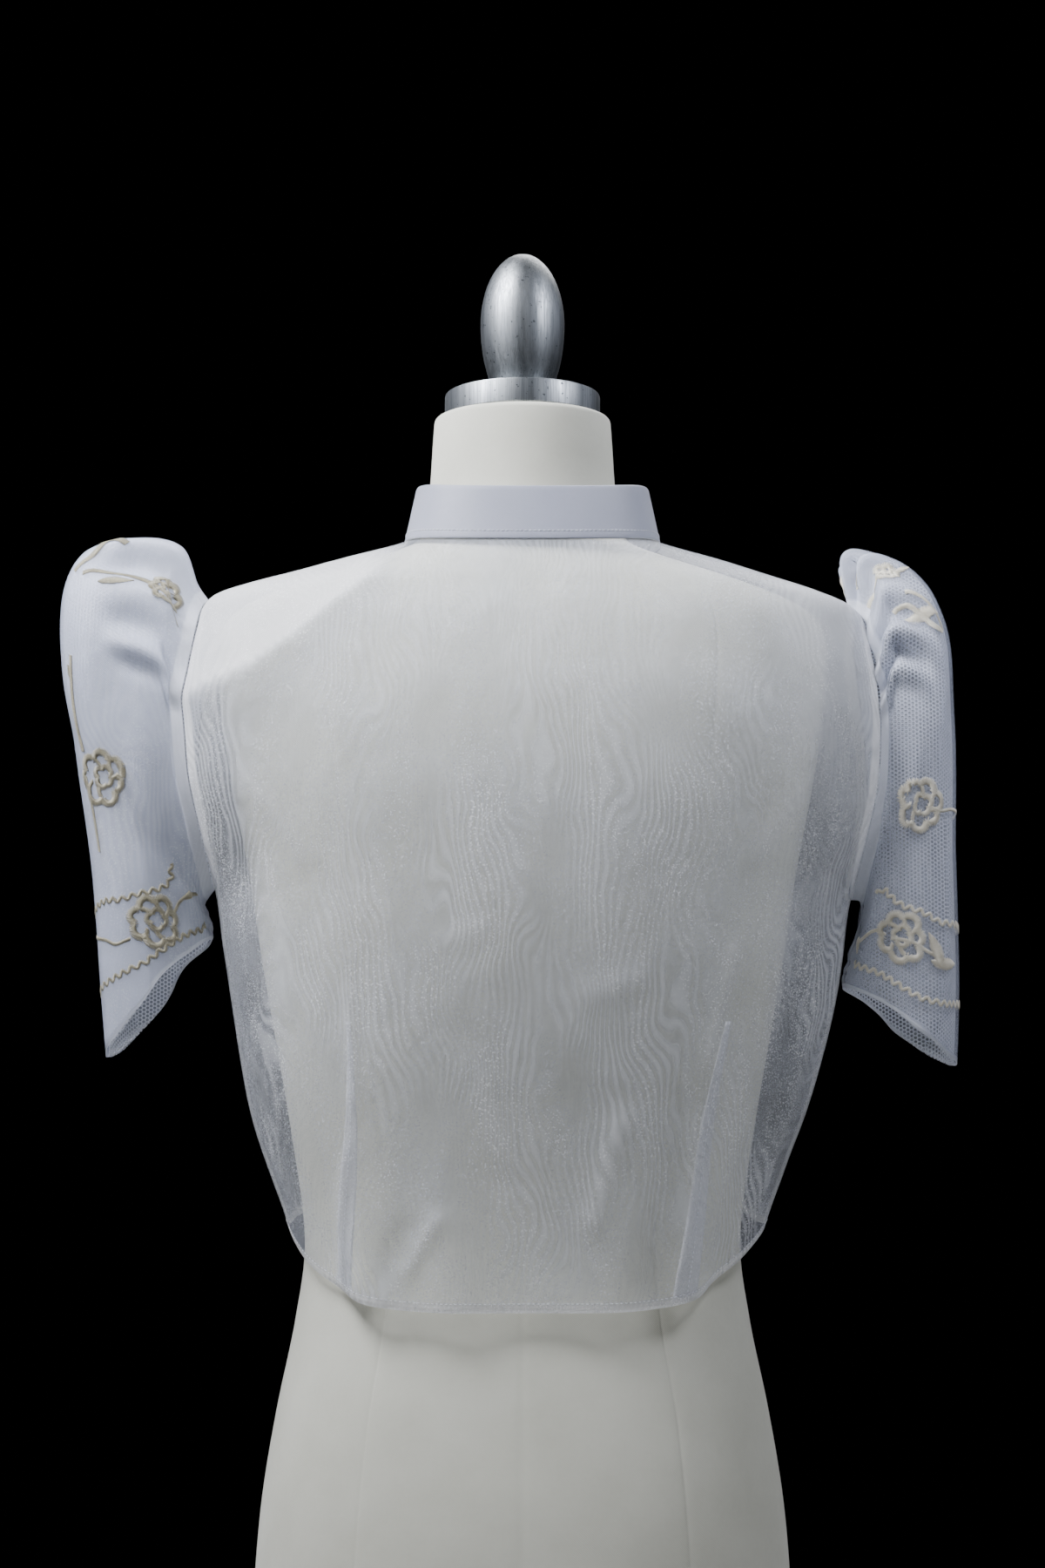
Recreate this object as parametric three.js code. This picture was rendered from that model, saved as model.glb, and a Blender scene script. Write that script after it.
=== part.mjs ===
// A sheer organza bolero with a stand collar and stiff butterfly sleeves, on a
// limbless dress form with a metal neck cap, a pole and a round base.
// Millimetres, +Z up. The origin is the middle of the underside of the base.
// The wearer's back faces -Y, so the wearer's left side is at -X.
// "drop" is a distance below the nape, and an angle runs round the body from the
// centre back (0) through the wearer's right side (90 degrees, +X) to the front.
import * as THREE from 'three';
import { mergeVertices } from 'three/addons/utils/BufferGeometryUtils.js';

// ---- driving dimensions -------------------------------------------------------
const NAPE_HEIGHT = 870; // nape of the form above the floor
const SEAM_GAP = 0.3; // clear gap where two pieces are sewn together
const ORGANZA_WALL = 1.2; // wall of the two layers of organza, worked as one
const NET_WALL = 1.0; // wall of the stiff net inside each sleeve
const NET_GAP = 0.8; // clear gap between a sleeve's organza and its net
const COLLAR_WALL = 1.8; // wall of the doubled and stiffened stand band
const COLLAR_HEIGHT = 33;
const COLLAR_LEAN = 7; // how far the band leans in from seam to top edge
const BACK_LENGTH = 452; // drop of the hem at the centre back
const SIDE_LENGTH = 406; // drop of the hem at the side seams
const FRONT_LENGTH = 378; // drop of the hem at the centre front
const NECK_DROP_BACK = 13; // drop of the neck seam at the centre back
const NECK_DROP_SIDE = 4;
const NECK_DROP_FRONT = 50;
const SHOULDER_TIP_DROP = 41; // drop at the outer end of the shoulder seam
const UNDERARM_DROP = 213;
const ARMHOLE_BACK = 50; // reach of the armhole behind the shoulder seam
const ARMHOLE_FRONT = 44; // reach of the armhole in front of it
const FRONT_GAP_NECK = 2; // half gap between the fronts at the neck
const FRONT_GAP_HEM = 15; // half gap between the fronts at the hem
const FRONT_CORNER_RISE = 30; // rise of the rounded front corners
const SIDE_SHIFT = 6; // the cloth sits this far to the wearer's right
const SHOULDER_TILT = 3.5; // and its right shoulder tip lies this much lower
const HELD_TO = 250; // drop down to which the cloth keeps that shift and tilt
const HELD_FADE = 120; // and the length over which it loses them
const CLOTH_SHOULDER = 193; // half width of the cloth at the shoulder tips

const NECK_FORWARD = 4; // the neck's cap and finial stand this far to the front
const CAP_RADIUS = 47;
const CAP_HEIGHT = 15;
const FINIAL_RADIUS = 25.5;
const FINIAL_HEIGHT = 88;
const FINIAL_BELLY = 44; // height of its widest part above the cap
const FINIAL_TAPER = 56; // lower half: how steadily it narrows to its foot
const FINIAL_STEPS = 18;
const POLE_RADIUS = 12;
const FLANGE_RADIUS = 42;
const FLANGE_HEIGHT = 9;
const FLANGE_FILLET = 6; // the pole flares by this much into its flange
const BASE_RADIUS = 165;
const BASE_HEIGHT = 14;
const HUB_RADIUS = 24;
const HUB_HEIGHT = 40;

// ---- how finely the shapes are divided ----------------------------------------
const SHOULDER_ROWS = 5;
const ARMHOLE_ROWS = 12;
const SIDE_ROWS = 8;
const BACK_COLUMNS = 16;
const FRONT_COLUMNS = 9;
const CLOSE_UP = 1.5; // the fronts' columns close up towards the centre front
const SLEEVE_RINGS = 12;
const RING_SPREAD = 1.15; // the rings lie a little closer together at the armhole
const FORM_COLUMNS = 36;
const LATHE_SIDES = 32;

// ---- sections of the form: half width, reach to back and front, squareness -----
const FORM_SECTIONS = [
  { drop: -75, width: 53, back: 47, front: 55, square: 2.0 },
  { drop: -60, width: 54, back: 48, front: 55, square: 2.0 },
  { drop: -30, width: 56, back: 50, front: 54, square: 2.0 },
  { drop: -12, width: 59, back: 53, front: 53, square: 2.0 },
  { drop: 3, width: 64.5, back: 57, front: 53, square: 2.0 },
  { drop: 11, width: 81, back: 62, front: 55, square: 2.1 },
  { drop: 19, width: 105, back: 67, front: 57, square: 2.2 },
  { drop: 28, width: 132, back: 72, front: 59, square: 2.3 },
  { drop: 38, width: 157, back: 77, front: 61, square: 2.4 },
  { drop: 48, width: 174, back: 82, front: 67, square: 2.4 },
  { drop: 64, width: 181, back: 88, front: 76, square: 2.4 },
  { drop: 100, width: 180, back: 98, front: 92, square: 2.4 },
  { drop: 150, width: 172, back: 103, front: 108, square: 2.4 },
  { drop: 200, width: 162, back: 102, front: 120, square: 2.3 },
  { drop: 250, width: 154, back: 98, front: 125, square: 2.3 },
  { drop: 300, width: 145, back: 91, front: 114, square: 2.2 },
  { drop: 350, width: 136, back: 83, front: 101, square: 2.2 },
  { drop: 415, width: 127, back: 77, front: 91, square: 2.2 },
  { drop: 460, width: 132, back: 82, front: 95, square: 2.2 },
  { drop: 510, width: 142, back: 92, front: 100, square: 2.3 },
  { drop: 560, width: 150, back: 101, front: 102, square: 2.3 },
  { drop: 610, width: 154, back: 106, front: 100, square: 2.3 },
  { drop: 650, width: 155, back: 107, front: 97, square: 2.3 },
];

// ---- sections of the cloth, outer face, in the same columns --------------------
const CLOTH_SECTIONS = [
  { drop: 0, width: 70, back: 63, front: 57, square: 2.0 },
  { drop: 4, width: 77, back: 64, front: 58, square: 2.0 },
  { drop: 10, width: 95, back: 67, front: 60, square: 2.1 },
  { drop: 17, width: 121, back: 71, front: 62, square: 2.2 },
  { drop: 26, width: 150, back: 77, front: 65, square: 2.3 },
  { drop: 34, width: 176, back: 82, front: 67, square: 2.4 },
  { drop: 41, width: CLOTH_SHOULDER, back: 85, front: 70, square: 2.4 },
  { drop: 60, width: 202, back: 93, front: 79, square: 2.5 },
  { drop: 85, width: 209, back: 100, front: 89, square: 2.6 },
  { drop: 115, width: 213, back: 106, front: 101, square: 2.6 },
  { drop: 150, width: 210, back: 109, front: 113, square: 2.6 },
  { drop: 180, width: 201, back: 110, front: 122, square: 2.5 },
  { drop: 213, width: 188, back: 110, front: 130, square: 2.4 },
  { drop: 250, width: 182, back: 109, front: 134, square: 2.4 },
  { drop: 280, width: 176, back: 107, front: 132, square: 2.4 },
  { drop: 317, width: 167, back: 104, front: 128, square: 2.4 },
  { drop: 345, width: 159, back: 101, front: 123, square: 2.4 },
  { drop: 375, width: 148, back: 98, front: 117, square: 2.4 },
  { drop: 405, width: 137, back: 96, front: 111, square: 2.4 },
  { drop: 452, width: 124, back: 92, front: 104, square: 2.4 },
];

// ---- the largest folds: soft ridges (+) and troughs (-) down the cloth ---------
const FOLDS = [
  { angle: -38, top: 250, bottom: 452, spread: 9, height: 5 },
  { angle: -54, top: 230, bottom: 452, spread: 8, height: -4 },
  { angle: -14, top: 330, bottom: 452, spread: 7, height: 4 },
  { angle: 2, top: 300, bottom: 452, spread: 9, height: -3 },
  { angle: 22, top: 320, bottom: 452, spread: 8, height: 3 },
  { angle: 42, top: 250, bottom: 452, spread: 9, height: 5 },
  { angle: 58, top: 220, bottom: 452, spread: 8, height: -4 },
  { angle: 88, top: 230, bottom: 350, spread: 14, height: 5 },
  { angle: 112, top: 210, bottom: 410, spread: 8, height: 5 },
  { angle: 134, top: 250, bottom: 400, spread: 9, height: -4 },
  { angle: 156, top: 270, bottom: 400, spread: 9, height: 4 },
  { angle: -110, top: 220, bottom: 410, spread: 9, height: 4 },
  { angle: -131, top: 240, bottom: 400, spread: 8, height: -4 },
  { angle: -153, top: 280, bottom: 400, spread: 10, height: 5 },
];

// ---- the waist darts: folded strips inside the back, from point to hem ---------
// "out" is measured from the centre back; side is +1 on the wearer's right.
const DARTS = [
  { name: 'dart_left', side: -1, pointOut: 101, middleOut: 95, hemOut: 103, hemWidth: 13 },
  { name: 'dart_right', side: 1, pointOut: 111, middleOut: 99, hemOut: 88, hemWidth: 14 },
];
const DART_POINT_WIDTH = 3;
const DART_GAP = 0.5; // clear gap between a dart and the panel's inner face
const DART_FIRST_ROW = 2; // row below the underarm where both darts begin

// ---- sleeve sections, as a fan from the underarm round the outer fold ----------
// foldOut and foldDrop place the fold, seamOut and seamDrop the underarm seam;
// "out" is measured from the middle of the body. "square" blunts the fold.
const LEFT_SECTIONS = [
  { step: 0.06, foldOut: 197, foldDrop: 27, seamOut: 187, seamDrop: 216, back: 54, front: 48, square: 2.0 },
  { step: 0.14, foldOut: 207, foldDrop: 5, seamOut: 188, seamDrop: 218, back: 56, front: 50, square: 2.1 },
  { step: 0.26, foldOut: 236, foldDrop: 1, seamOut: 188, seamDrop: 221, back: 57, front: 52, square: 2.4 },
  { step: 0.36, foldOut: 260, foldDrop: 8, seamOut: 187, seamDrop: 224, back: 56, front: 52, square: 2.8 },
  { step: 0.45, foldOut: 272, foldDrop: 34, seamOut: 186, seamDrop: 227, back: 53, front: 50, square: 3.2 },
  { step: 0.56, foldOut: 273, foldDrop: 78, seamOut: 184, seamDrop: 230, back: 50, front: 48, square: 3.2 },
  { step: 0.68, foldOut: 264, foldDrop: 130, seamOut: 184, seamDrop: 233, back: 48, front: 47, square: 3.0 },
  { step: 0.82, foldOut: 254, foldDrop: 200, seamOut: 184, seamDrop: 236, back: 47, front: 46, square: 2.6 },
  { step: 1.0, foldOut: 245, foldDrop: 309, seamOut: 184, seamDrop: 240, back: 46, front: 45, square: 2.2 },
];
const RIGHT_SECTIONS = [
  { step: 0.06, foldOut: 205, foldDrop: 29, seamOut: 200, seamDrop: 217, back: 54, front: 48, square: 2.0 },
  { step: 0.14, foldOut: 210, foldDrop: 12, seamOut: 201, seamDrop: 223, back: 56, front: 50, square: 2.1 },
  { step: 0.26, foldOut: 224, foldDrop: 15, seamOut: 200, seamDrop: 230, back: 57, front: 52, square: 2.3 },
  { step: 0.36, foldOut: 243, foldDrop: 33, seamOut: 198, seamDrop: 236, back: 56, front: 52, square: 2.6 },
  { step: 0.45, foldOut: 253, foldDrop: 60, seamOut: 196, seamDrop: 242, back: 53, front: 50, square: 2.8 },
  { step: 0.56, foldOut: 255, foldDrop: 105, seamOut: 194, seamDrop: 248, back: 50, front: 48, square: 2.8 },
  { step: 0.68, foldOut: 256, foldDrop: 160, seamOut: 192, seamDrop: 254, back: 48, front: 47, square: 2.8 },
  { step: 0.82, foldOut: 257, foldDrop: 230, seamOut: 190, seamDrop: 260, back: 47, front: 46, square: 2.6 },
  { step: 1.0, foldOut: 255, foldDrop: 314, seamOut: 189, seamDrop: 268, back: 46, front: 45, square: 2.2 },
];
const SLEEVES = [
  { name: 'left', side: -1, overhang: 0, sections: LEFT_SECTIONS },
  { name: 'right', side: 1, overhang: 17, sections: RIGHT_SECTIONS },
];
const ARMHOLE_CLEARANCE = 0.6; // gap from the armhole edge to the sleeve's edge
const PLEAT_HEIGHT = 2.5; // pleats at the crown, in and out of the sleeve's face
const PLEAT_REACH = 65; // degrees round the sleeve from the fold to the last pleat
const PLEAT_STEP = 0.18; // where along the sleeve the pleats are highest
const PLEAT_LENGTH = 0.14; // how far along the sleeve they run each way
const OVERHANG_STEP = 0.16; // where along the sleeve its crown leans in most
const OVERHANG_LENGTH = 0.11;
const OVERHANG_TURN = -0.25; // radians round from the fold, towards the front
const OVERHANG_SPREAD = 0.55;
const BOW_KEPT = 0.6; // the bow is kept whole near the underarm, up to this share
const BOW_FADE = 0.75; // where along the sleeve the armhole's own bow has gone

// ---- colours ------------------------------------------------------------------
const ORGANZA = { color: 0xe9ecf4, roughness: 0.45, metalness: 0 };
const NET = { color: 0xdfe4f0, roughness: 0.6, metalness: 0 };
const COLLAR_CLOTH = { color: 0xdfe1ea, roughness: 0.55, metalness: 0 };
const COVER = { color: 0xe9e5da, roughness: 0.9, metalness: 0 };
const ALUMINIUM = { color: 0xb9bdc0, roughness: 0.32, metalness: 1 };
const PAINTED = { color: 0x2b2c2e, roughness: 0.5, metalness: 0.2 };

// ---- small helpers ------------------------------------------------------------
const mix = (a, b, t) => a + (b - a) * t;
const smooth = (t) => THREE.MathUtils.smoothstep(t, 0, 1);
const signedPower = (value, power) => Math.sign(value) * Math.abs(value) ** power;

/** A column of a table at one place of its key column, as a smooth curve. */
function readTable(rows, key, place, column) {
  const last = rows.length - 1;
  const clamped = THREE.MathUtils.clamp(place, rows[0][key], rows[last][key]);
  let i = 0;
  while (i < last - 1 && rows[i + 1][key] < clamped) {
    i += 1;
  }
  const slopeAt = (k) => {
    const before = rows[Math.max(k - 1, 0)];
    const after = rows[Math.min(k + 1, last)];
    return (after[column] - before[column]) / (after[key] - before[key]);
  };
  const run = rows[i + 1][key] - rows[i][key];
  const t = (clamped - rows[i][key]) / run;
  const ease = t * t * (3 - 2 * t);
  const start = t * (1 - t) * (1 - t) * run * slopeAt(i);
  const end = t * t * (t - 1) * run * slopeAt(i + 1);
  return mix(rows[i][column], rows[i + 1][column], ease) + start + end;
}

/** A mesh from points and triangles, with its faces turned outwards. */
function solidMesh(name, points, triangles, finish) {
  let volume = 0;
  for (const [a, b, c] of triangles) {
    volume += points[a].dot(points[b].clone().cross(points[c]));
  }
  const index = triangles.flatMap(([a, b, c]) => (volume > 0 ? [a, b, c] : [a, c, b]));
  const geometry = new THREE.BufferGeometry().setFromPoints(points);
  geometry.setIndex(index);
  geometry.computeVertexNormals();
  return namedMesh(name, geometry, finish);
}

/** A named mesh with its own material. */
function namedMesh(name, geometry, finish) {
  const mesh = new THREE.Mesh(geometry, new THREE.MeshStandardMaterial(finish));
  mesh.name = name;
  return mesh;
}

/** Normals of a grid of points, from their neighbours along and across. */
function gridNormals(grid, closed) {
  const columns = grid[0].length;
  const wrap = (j) => (j + columns) % columns;
  const clampColumn = (j) => THREE.MathUtils.clamp(j, 0, columns - 1);
  const column = closed ? wrap : clampColumn;
  return grid.map((row, i) => row.map((point, j) => {
    const along = grid[Math.min(i + 1, grid.length - 1)][j].clone();
    along.sub(grid[Math.max(i - 1, 0)][j]);
    const across = row[column(j + 1)].clone().sub(row[column(j - 1)]);
    return along.cross(across).normalize();
  }));
}

/** The grid moved along its normals. */
function movedGrid(grid, normals, distance) {
  const moved = (point, i, j) => point.clone().addScaledVector(normals[i][j], distance);
  return grid.map((row, i) => row.map((point, j) => moved(point, i, j)));
}

/** A closed cloth wall between two grids; "closed" joins its last column to its first. */
function clothWall(name, outer, inner, closed, finish) {
  const rows = outer.length;
  const columns = outer[0].length;
  const points = [...outer.flat(), ...inner.flat()];
  const under = rows * columns;
  const at = (i, j) => i * columns + (j % columns);
  const triangles = [];
  const quad = (a, b, c, d) => triangles.push([a, b, c], [a, c, d]);
  const spans = closed ? columns : columns - 1;
  for (let i = 0; i < rows - 1; i += 1) {
    for (let j = 0; j < spans; j += 1) {
      quad(at(i, j), at(i + 1, j), at(i + 1, j + 1), at(i, j + 1));
      quad(under + at(i, j), under + at(i, j + 1), under + at(i + 1, j + 1), under + at(i + 1, j));
    }
  }
  for (let j = 0; j < spans; j += 1) {
    quad(at(0, j), at(0, j + 1), under + at(0, j + 1), under + at(0, j));
    quad(at(rows - 1, j + 1), at(rows - 1, j), under + at(rows - 1, j), under + at(rows - 1, j + 1));
  }
  for (let i = 0; !closed && i < rows - 1; i += 1) {
    quad(at(i + 1, 0), at(i, 0), under + at(i, 0), under + at(i + 1, 0));
    const edge = columns - 1;
    quad(at(i, edge), at(i + 1, edge), under + at(i + 1, edge), under + at(i, edge));
  }
  return solidMesh(name, points, triangles, finish);
}

// ---- the body's sections --------------------------------------------------------
/** A point of a section: a squared ellipse with its own reach to back and front. */
function sectionPoint(sections, angle, drop) {
  const width = readTable(sections, 'drop', drop, 'width');
  const reach = readTable(sections, 'drop', drop, Math.cos(angle) > 0 ? 'back' : 'front');
  const power = 2 / readTable(sections, 'drop', drop, 'square');
  const x = width * signedPower(Math.sin(angle), power);
  const y = -reach * signedPower(Math.cos(angle), power);
  return new THREE.Vector3(x, y, NAPE_HEIGHT - drop);
}

/** How far the folds lift the cloth at a place. */
function foldLift(angle, drop) {
  let lift = 0;
  for (const fold of FOLDS) {
    const away = THREE.MathUtils.radToDeg(angle) - fold.angle;
    const grown = smooth((drop - fold.top) / (fold.bottom - fold.top));
    lift += fold.height * grown * Math.exp(-((away / fold.spread) ** 2));
  }
  return lift;
}

/** The cloth's outer face, with its folds, sitting a little to the wearer's right. */
function clothPoint(angle, drop) {
  const point = sectionPoint(CLOTH_SECTIONS, angle, drop);
  const lift = foldLift(angle, drop);
  point.x += lift * Math.sin(angle);
  point.y -= lift * Math.cos(angle);
  const hold = 1 - smooth((drop - HELD_TO) / HELD_FADE);
  point.z -= SHOULDER_TILT * (point.x / CLOTH_SHOULDER) ** 3 * hold;
  point.x += SIDE_SHIFT * hold;
  return point;
}

/** The outward normal of the cloth's outer face. */
function clothNormal(angle, drop) {
  const turn = 0.002;
  const step = 0.4;
  const across = clothPoint(angle + turn, drop).sub(clothPoint(angle - turn, drop));
  const down = clothPoint(angle, drop + step).sub(clothPoint(angle, drop - step));
  return down.cross(across).normalize();
}

/** Drop of the neck seam at an angle: dipping at the back, deep at the front. */
function neckDrop(angle) {
  const turn = Math.abs(angle) / Math.PI;
  if (turn <= 0.5) {
    return mix(NECK_DROP_SIDE, NECK_DROP_BACK, Math.cos(angle) ** 2);
  }
  return mix(NECK_DROP_SIDE, NECK_DROP_FRONT, (turn * 2 - 1) ** 4);
}

/** Drop of the hem at an angle, with rounded corners at the centre front. */
function hemDrop(angle) {
  const turn = Math.abs(angle) / Math.PI;
  if (turn <= 0.5) {
    return mix(SIDE_LENGTH, BACK_LENGTH, smooth(Math.cos(angle) ** 0.8));
  }
  const towardsFront = turn * 2 - 1;
  const corner = FRONT_CORNER_RISE * THREE.MathUtils.smoothstep(towardsFront, 0.72, 1) ** 2;
  return mix(SIDE_LENGTH, FRONT_LENGTH, smooth(towardsFront)) - corner;
}

/** The rows of a panel, as shares of its length, with the armhole's depth at each. */
function panelRows() {
  const share = (drop) => (drop - NECK_DROP_SIDE) / (SIDE_LENGTH - NECK_DROP_SIDE);
  const tip = share(SHOULDER_TIP_DROP);
  const underarm = share(UNDERARM_DROP);
  const rows = [];
  for (let i = 0; i < SHOULDER_ROWS; i += 1) {
    rows.push({ share: tip * i / SHOULDER_ROWS, armhole: 0 });
  }
  for (let i = 0; i <= ARMHOLE_ROWS; i += 1) {
    const turn = Math.PI * i / ARMHOLE_ROWS;
    rows.push({ share: mix(tip, underarm, (1 - Math.cos(turn)) / 2), armhole: Math.sin(turn) });
  }
  for (let i = 1; i <= SIDE_ROWS; i += 1) {
    rows.push({ share: mix(underarm, 1, i / SIDE_ROWS), armhole: 0 });
  }
  return rows;
}

const rowDrop = (angle, share) => mix(neckDrop(angle), hemDrop(angle), share);

/** The angle on a row at which the cloth's edge stands off the side seam line. */
function edgeAngle(row, reachName, armholeReach) {
  const stand = Math.max(row.armhole * armholeReach, SEAM_GAP / 2);
  const direction = reachName === 'back' ? 1 : -1;
  let angle = Math.PI / 2;
  for (let round = 0; round < 5; round += 1) {
    const drop = rowDrop(angle, row.share);
    const reach = readTable(CLOTH_SECTIONS, 'drop', drop, reachName);
    const square = readTable(CLOTH_SECTIONS, 'drop', drop, 'square');
    angle = Math.acos(direction * (stand / reach) ** (square / 2));
  }
  return angle;
}

/** The angle on a row at which a front's centre edge lies. */
function frontAngle(row) {
  const gap = mix(FRONT_GAP_NECK, FRONT_GAP_HEM, row.share ** 1.6);
  let angle = Math.PI * 0.98;
  for (let round = 0; round < 5; round += 1) {
    const drop = rowDrop(angle, row.share);
    const width = readTable(CLOTH_SECTIONS, 'drop', drop, 'width');
    const square = readTable(CLOTH_SECTIONS, 'drop', drop, 'square');
    angle = Math.PI - Math.asin((gap / width) ** (square / 2));
  }
  return angle;
}

/** Angles of a panel's columns on each row; "spread" sets how they close up. */
function panelAngles(fromEdge, toEdge, columns, spread = (share) => share) {
  return panelRows().map((row) => {
    const from = fromEdge(row);
    const to = toEdge(row);
    return Array.from({ length: columns + 1 }, (_, j) => mix(from, to, spread(j / columns)));
  });
}

/** Outer and inner grids of a panel, its inner face a wall's thickness inside. */
function panelGrids(angles, wall) {
  const rows = panelRows();
  const overRows = (measure) => angles.map((line, i) => (
    line.map((angle) => measure(angle, rowDrop(angle, rows[i].share)))
  ));
  const outer = overRows(clothPoint);
  const normals = overRows(clothNormal);
  return { outer, inner: movedGrid(outer, normals, -wall) };
}

const backEdge = (row) => edgeAngle(row, 'back', ARMHOLE_BACK);
const frontSideEdge = (row) => edgeAngle(row, 'front', ARMHOLE_FRONT);
const closeUpFirst = (share) => share ** CLOSE_UP;
const closeUpLast = (share) => 1 - (1 - share) ** CLOSE_UP;
const mirrored = (edge) => (row) => -edge(row);
const PANEL_ANGLES = {
  back_panel: panelAngles(mirrored(backEdge), backEdge, BACK_COLUMNS),
  front_left: panelAngles(mirrored(frontAngle), mirrored(frontSideEdge), FRONT_COLUMNS, closeUpFirst),
  front_right: panelAngles(frontSideEdge, frontAngle, FRONT_COLUMNS, closeUpLast),
};

/** One panel of the body of the bolero. */
function makePanel(name) {
  const { outer, inner } = panelGrids(PANEL_ANGLES[name], ORGANZA_WALL);
  return clothWall(name, outer, inner, false, ORGANZA);
}

// ---- darts ----------------------------------------------------------------------
/** The angle of a place on a row of the back that is this far from the centre. */
function angleOut(row, out) {
  let angle = 0.6;
  for (let round = 0; round < 5; round += 1) {
    const drop = rowDrop(angle, row.share);
    const width = readTable(CLOTH_SECTIONS, 'drop', drop, 'width');
    const square = readTable(CLOTH_SECTIONS, 'drop', drop, 'square');
    angle = Math.asin((out / width) ** (square / 2));
  }
  return angle;
}

/** A folded dart inside the back panel, made from the panel's own inner points. */
function makeDart(dart) {
  const rows = panelRows();
  const angles = PANEL_ANGLES.back_panel;
  const { inner } = panelGrids(angles, ORGANZA_WALL);
  const normals = gridNormals(inner, false);
  const first = SHOULDER_ROWS + ARMHOLE_ROWS + DART_FIRST_ROW;
  const facing = Math.sign(normals[first][BACK_COLUMNS / 2].y);
  const faces = { near: [], far: [] };
  for (let i = first; i < rows.length; i += 1) {
    const t = (i - first) / (rows.length - 1 - first);
    const straight = mix(dart.pointOut, dart.hemOut, t);
    const bend = dart.middleOut - (dart.pointOut + dart.hemOut) / 2;
    const out = straight + bend * 4 * t * (1 - t);
    const halfWidth = mix(DART_POINT_WIDTH, dart.hemWidth, t) / 2;
    const lay = (place, depth) => {
      const angle = dart.side * angleOut(rows[i], place);
      const line = angles[i];
      const column = BACK_COLUMNS * (angle - line[0]) / (line[BACK_COLUMNS] - line[0]);
      const j = Math.floor(column);
      const point = inner[i][j].clone().lerp(inner[i][j + 1], column - j);
      const normal = normals[i][j].clone().lerp(normals[i][j + 1], column - j).normalize();
      return point.addScaledVector(normal, facing * depth);
    };
    const edges = [out - halfWidth, out + halfWidth];
    faces.near.push(edges.map((place) => lay(place, DART_GAP)));
    faces.far.push(edges.map((place) => lay(place, DART_GAP + ORGANZA_WALL)));
  }
  return clothWall(dart.name, faces.near, faces.far, false, ORGANZA);
}

// ---- collar ---------------------------------------------------------------------
/** The stand collar, on the neck seam's own points, leaning in to its top edge. */
function makeCollar() {
  const angles = [
    ...PANEL_ANGLES.front_left[0],
    ...PANEL_ANGLES.back_panel[0].slice(1, -1),
    ...PANEL_ANGLES.front_right[0],
  ];
  const seam = angles.map((angle) => clothPoint(angle, rowDrop(angle, 0)));
  const outward = seam.map((_, j) => {
    const before = seam[Math.max(j - 1, 0)];
    const after = seam[Math.min(j + 1, seam.length - 1)];
    return new THREE.Vector3(after.y - before.y, before.x - after.x, 0).normalize();
  });
  const ring = (height, depth) => seam.map((point, j) => {
    const leant = COLLAR_LEAN * height / COLLAR_HEIGHT;
    const lifted = point.clone().addScaledVector(outward[j], -leant - depth);
    lifted.z += height + 2 * SEAM_GAP;
    return lifted;
  });
  const heights = [0, COLLAR_HEIGHT / 2, COLLAR_HEIGHT];
  const outer = heights.map((height) => ring(height, 0));
  const inner = heights.map((height) => ring(height, COLLAR_WALL));
  return clothWall('stand_collar', outer, inner, false, COLLAR_CLOTH);
}

// ---- sleeves --------------------------------------------------------------------
/** The armhole's edge, from the shoulder tip down the back and up the front. */
function armholeLoop(side) {
  const front = side > 0 ? PANEL_ANGLES.front_right : PANEL_ANGLES.front_left;
  const rows = panelRows();
  const loop = [];
  for (let k = 0; k < 2 * ARMHOLE_ROWS; k += 1) {
    const down = k <= ARMHOLE_ROWS;
    const i = SHOULDER_ROWS + (down ? k : 2 * ARMHOLE_ROWS - k);
    const line = down ? PANEL_ANGLES.back_panel[i] : front[i];
    const last = line.length - 1;
    const edgeFirst = down ? side < 0 : side > 0;
    const angle = line[edgeFirst ? 0 : last];
    const point = clothPoint(angle, rowDrop(angle, rows[i].share));
    point.x += side * ARMHOLE_CLEARANCE;
    loop.push(point);
  }
  return loop;
}

/** How much of the overhang a place of the sleeve has, most in front of its crown. */
function overhangShare(step, turn) {
  const along = (step - OVERHANG_STEP) / OVERHANG_LENGTH;
  const fromFold = turn > Math.PI ? turn - 2 * Math.PI : turn;
  const round = (fromFold - OVERHANG_TURN) / OVERHANG_SPREAD;
  return Math.exp(-(along * along) - round * round);
}

/** Where a ring lies along the sleeve, 0 at the armhole and 1 at the hem. */
const ringStep = (i) => (i / SLEEVE_RINGS) ** RING_SPREAD;

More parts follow.
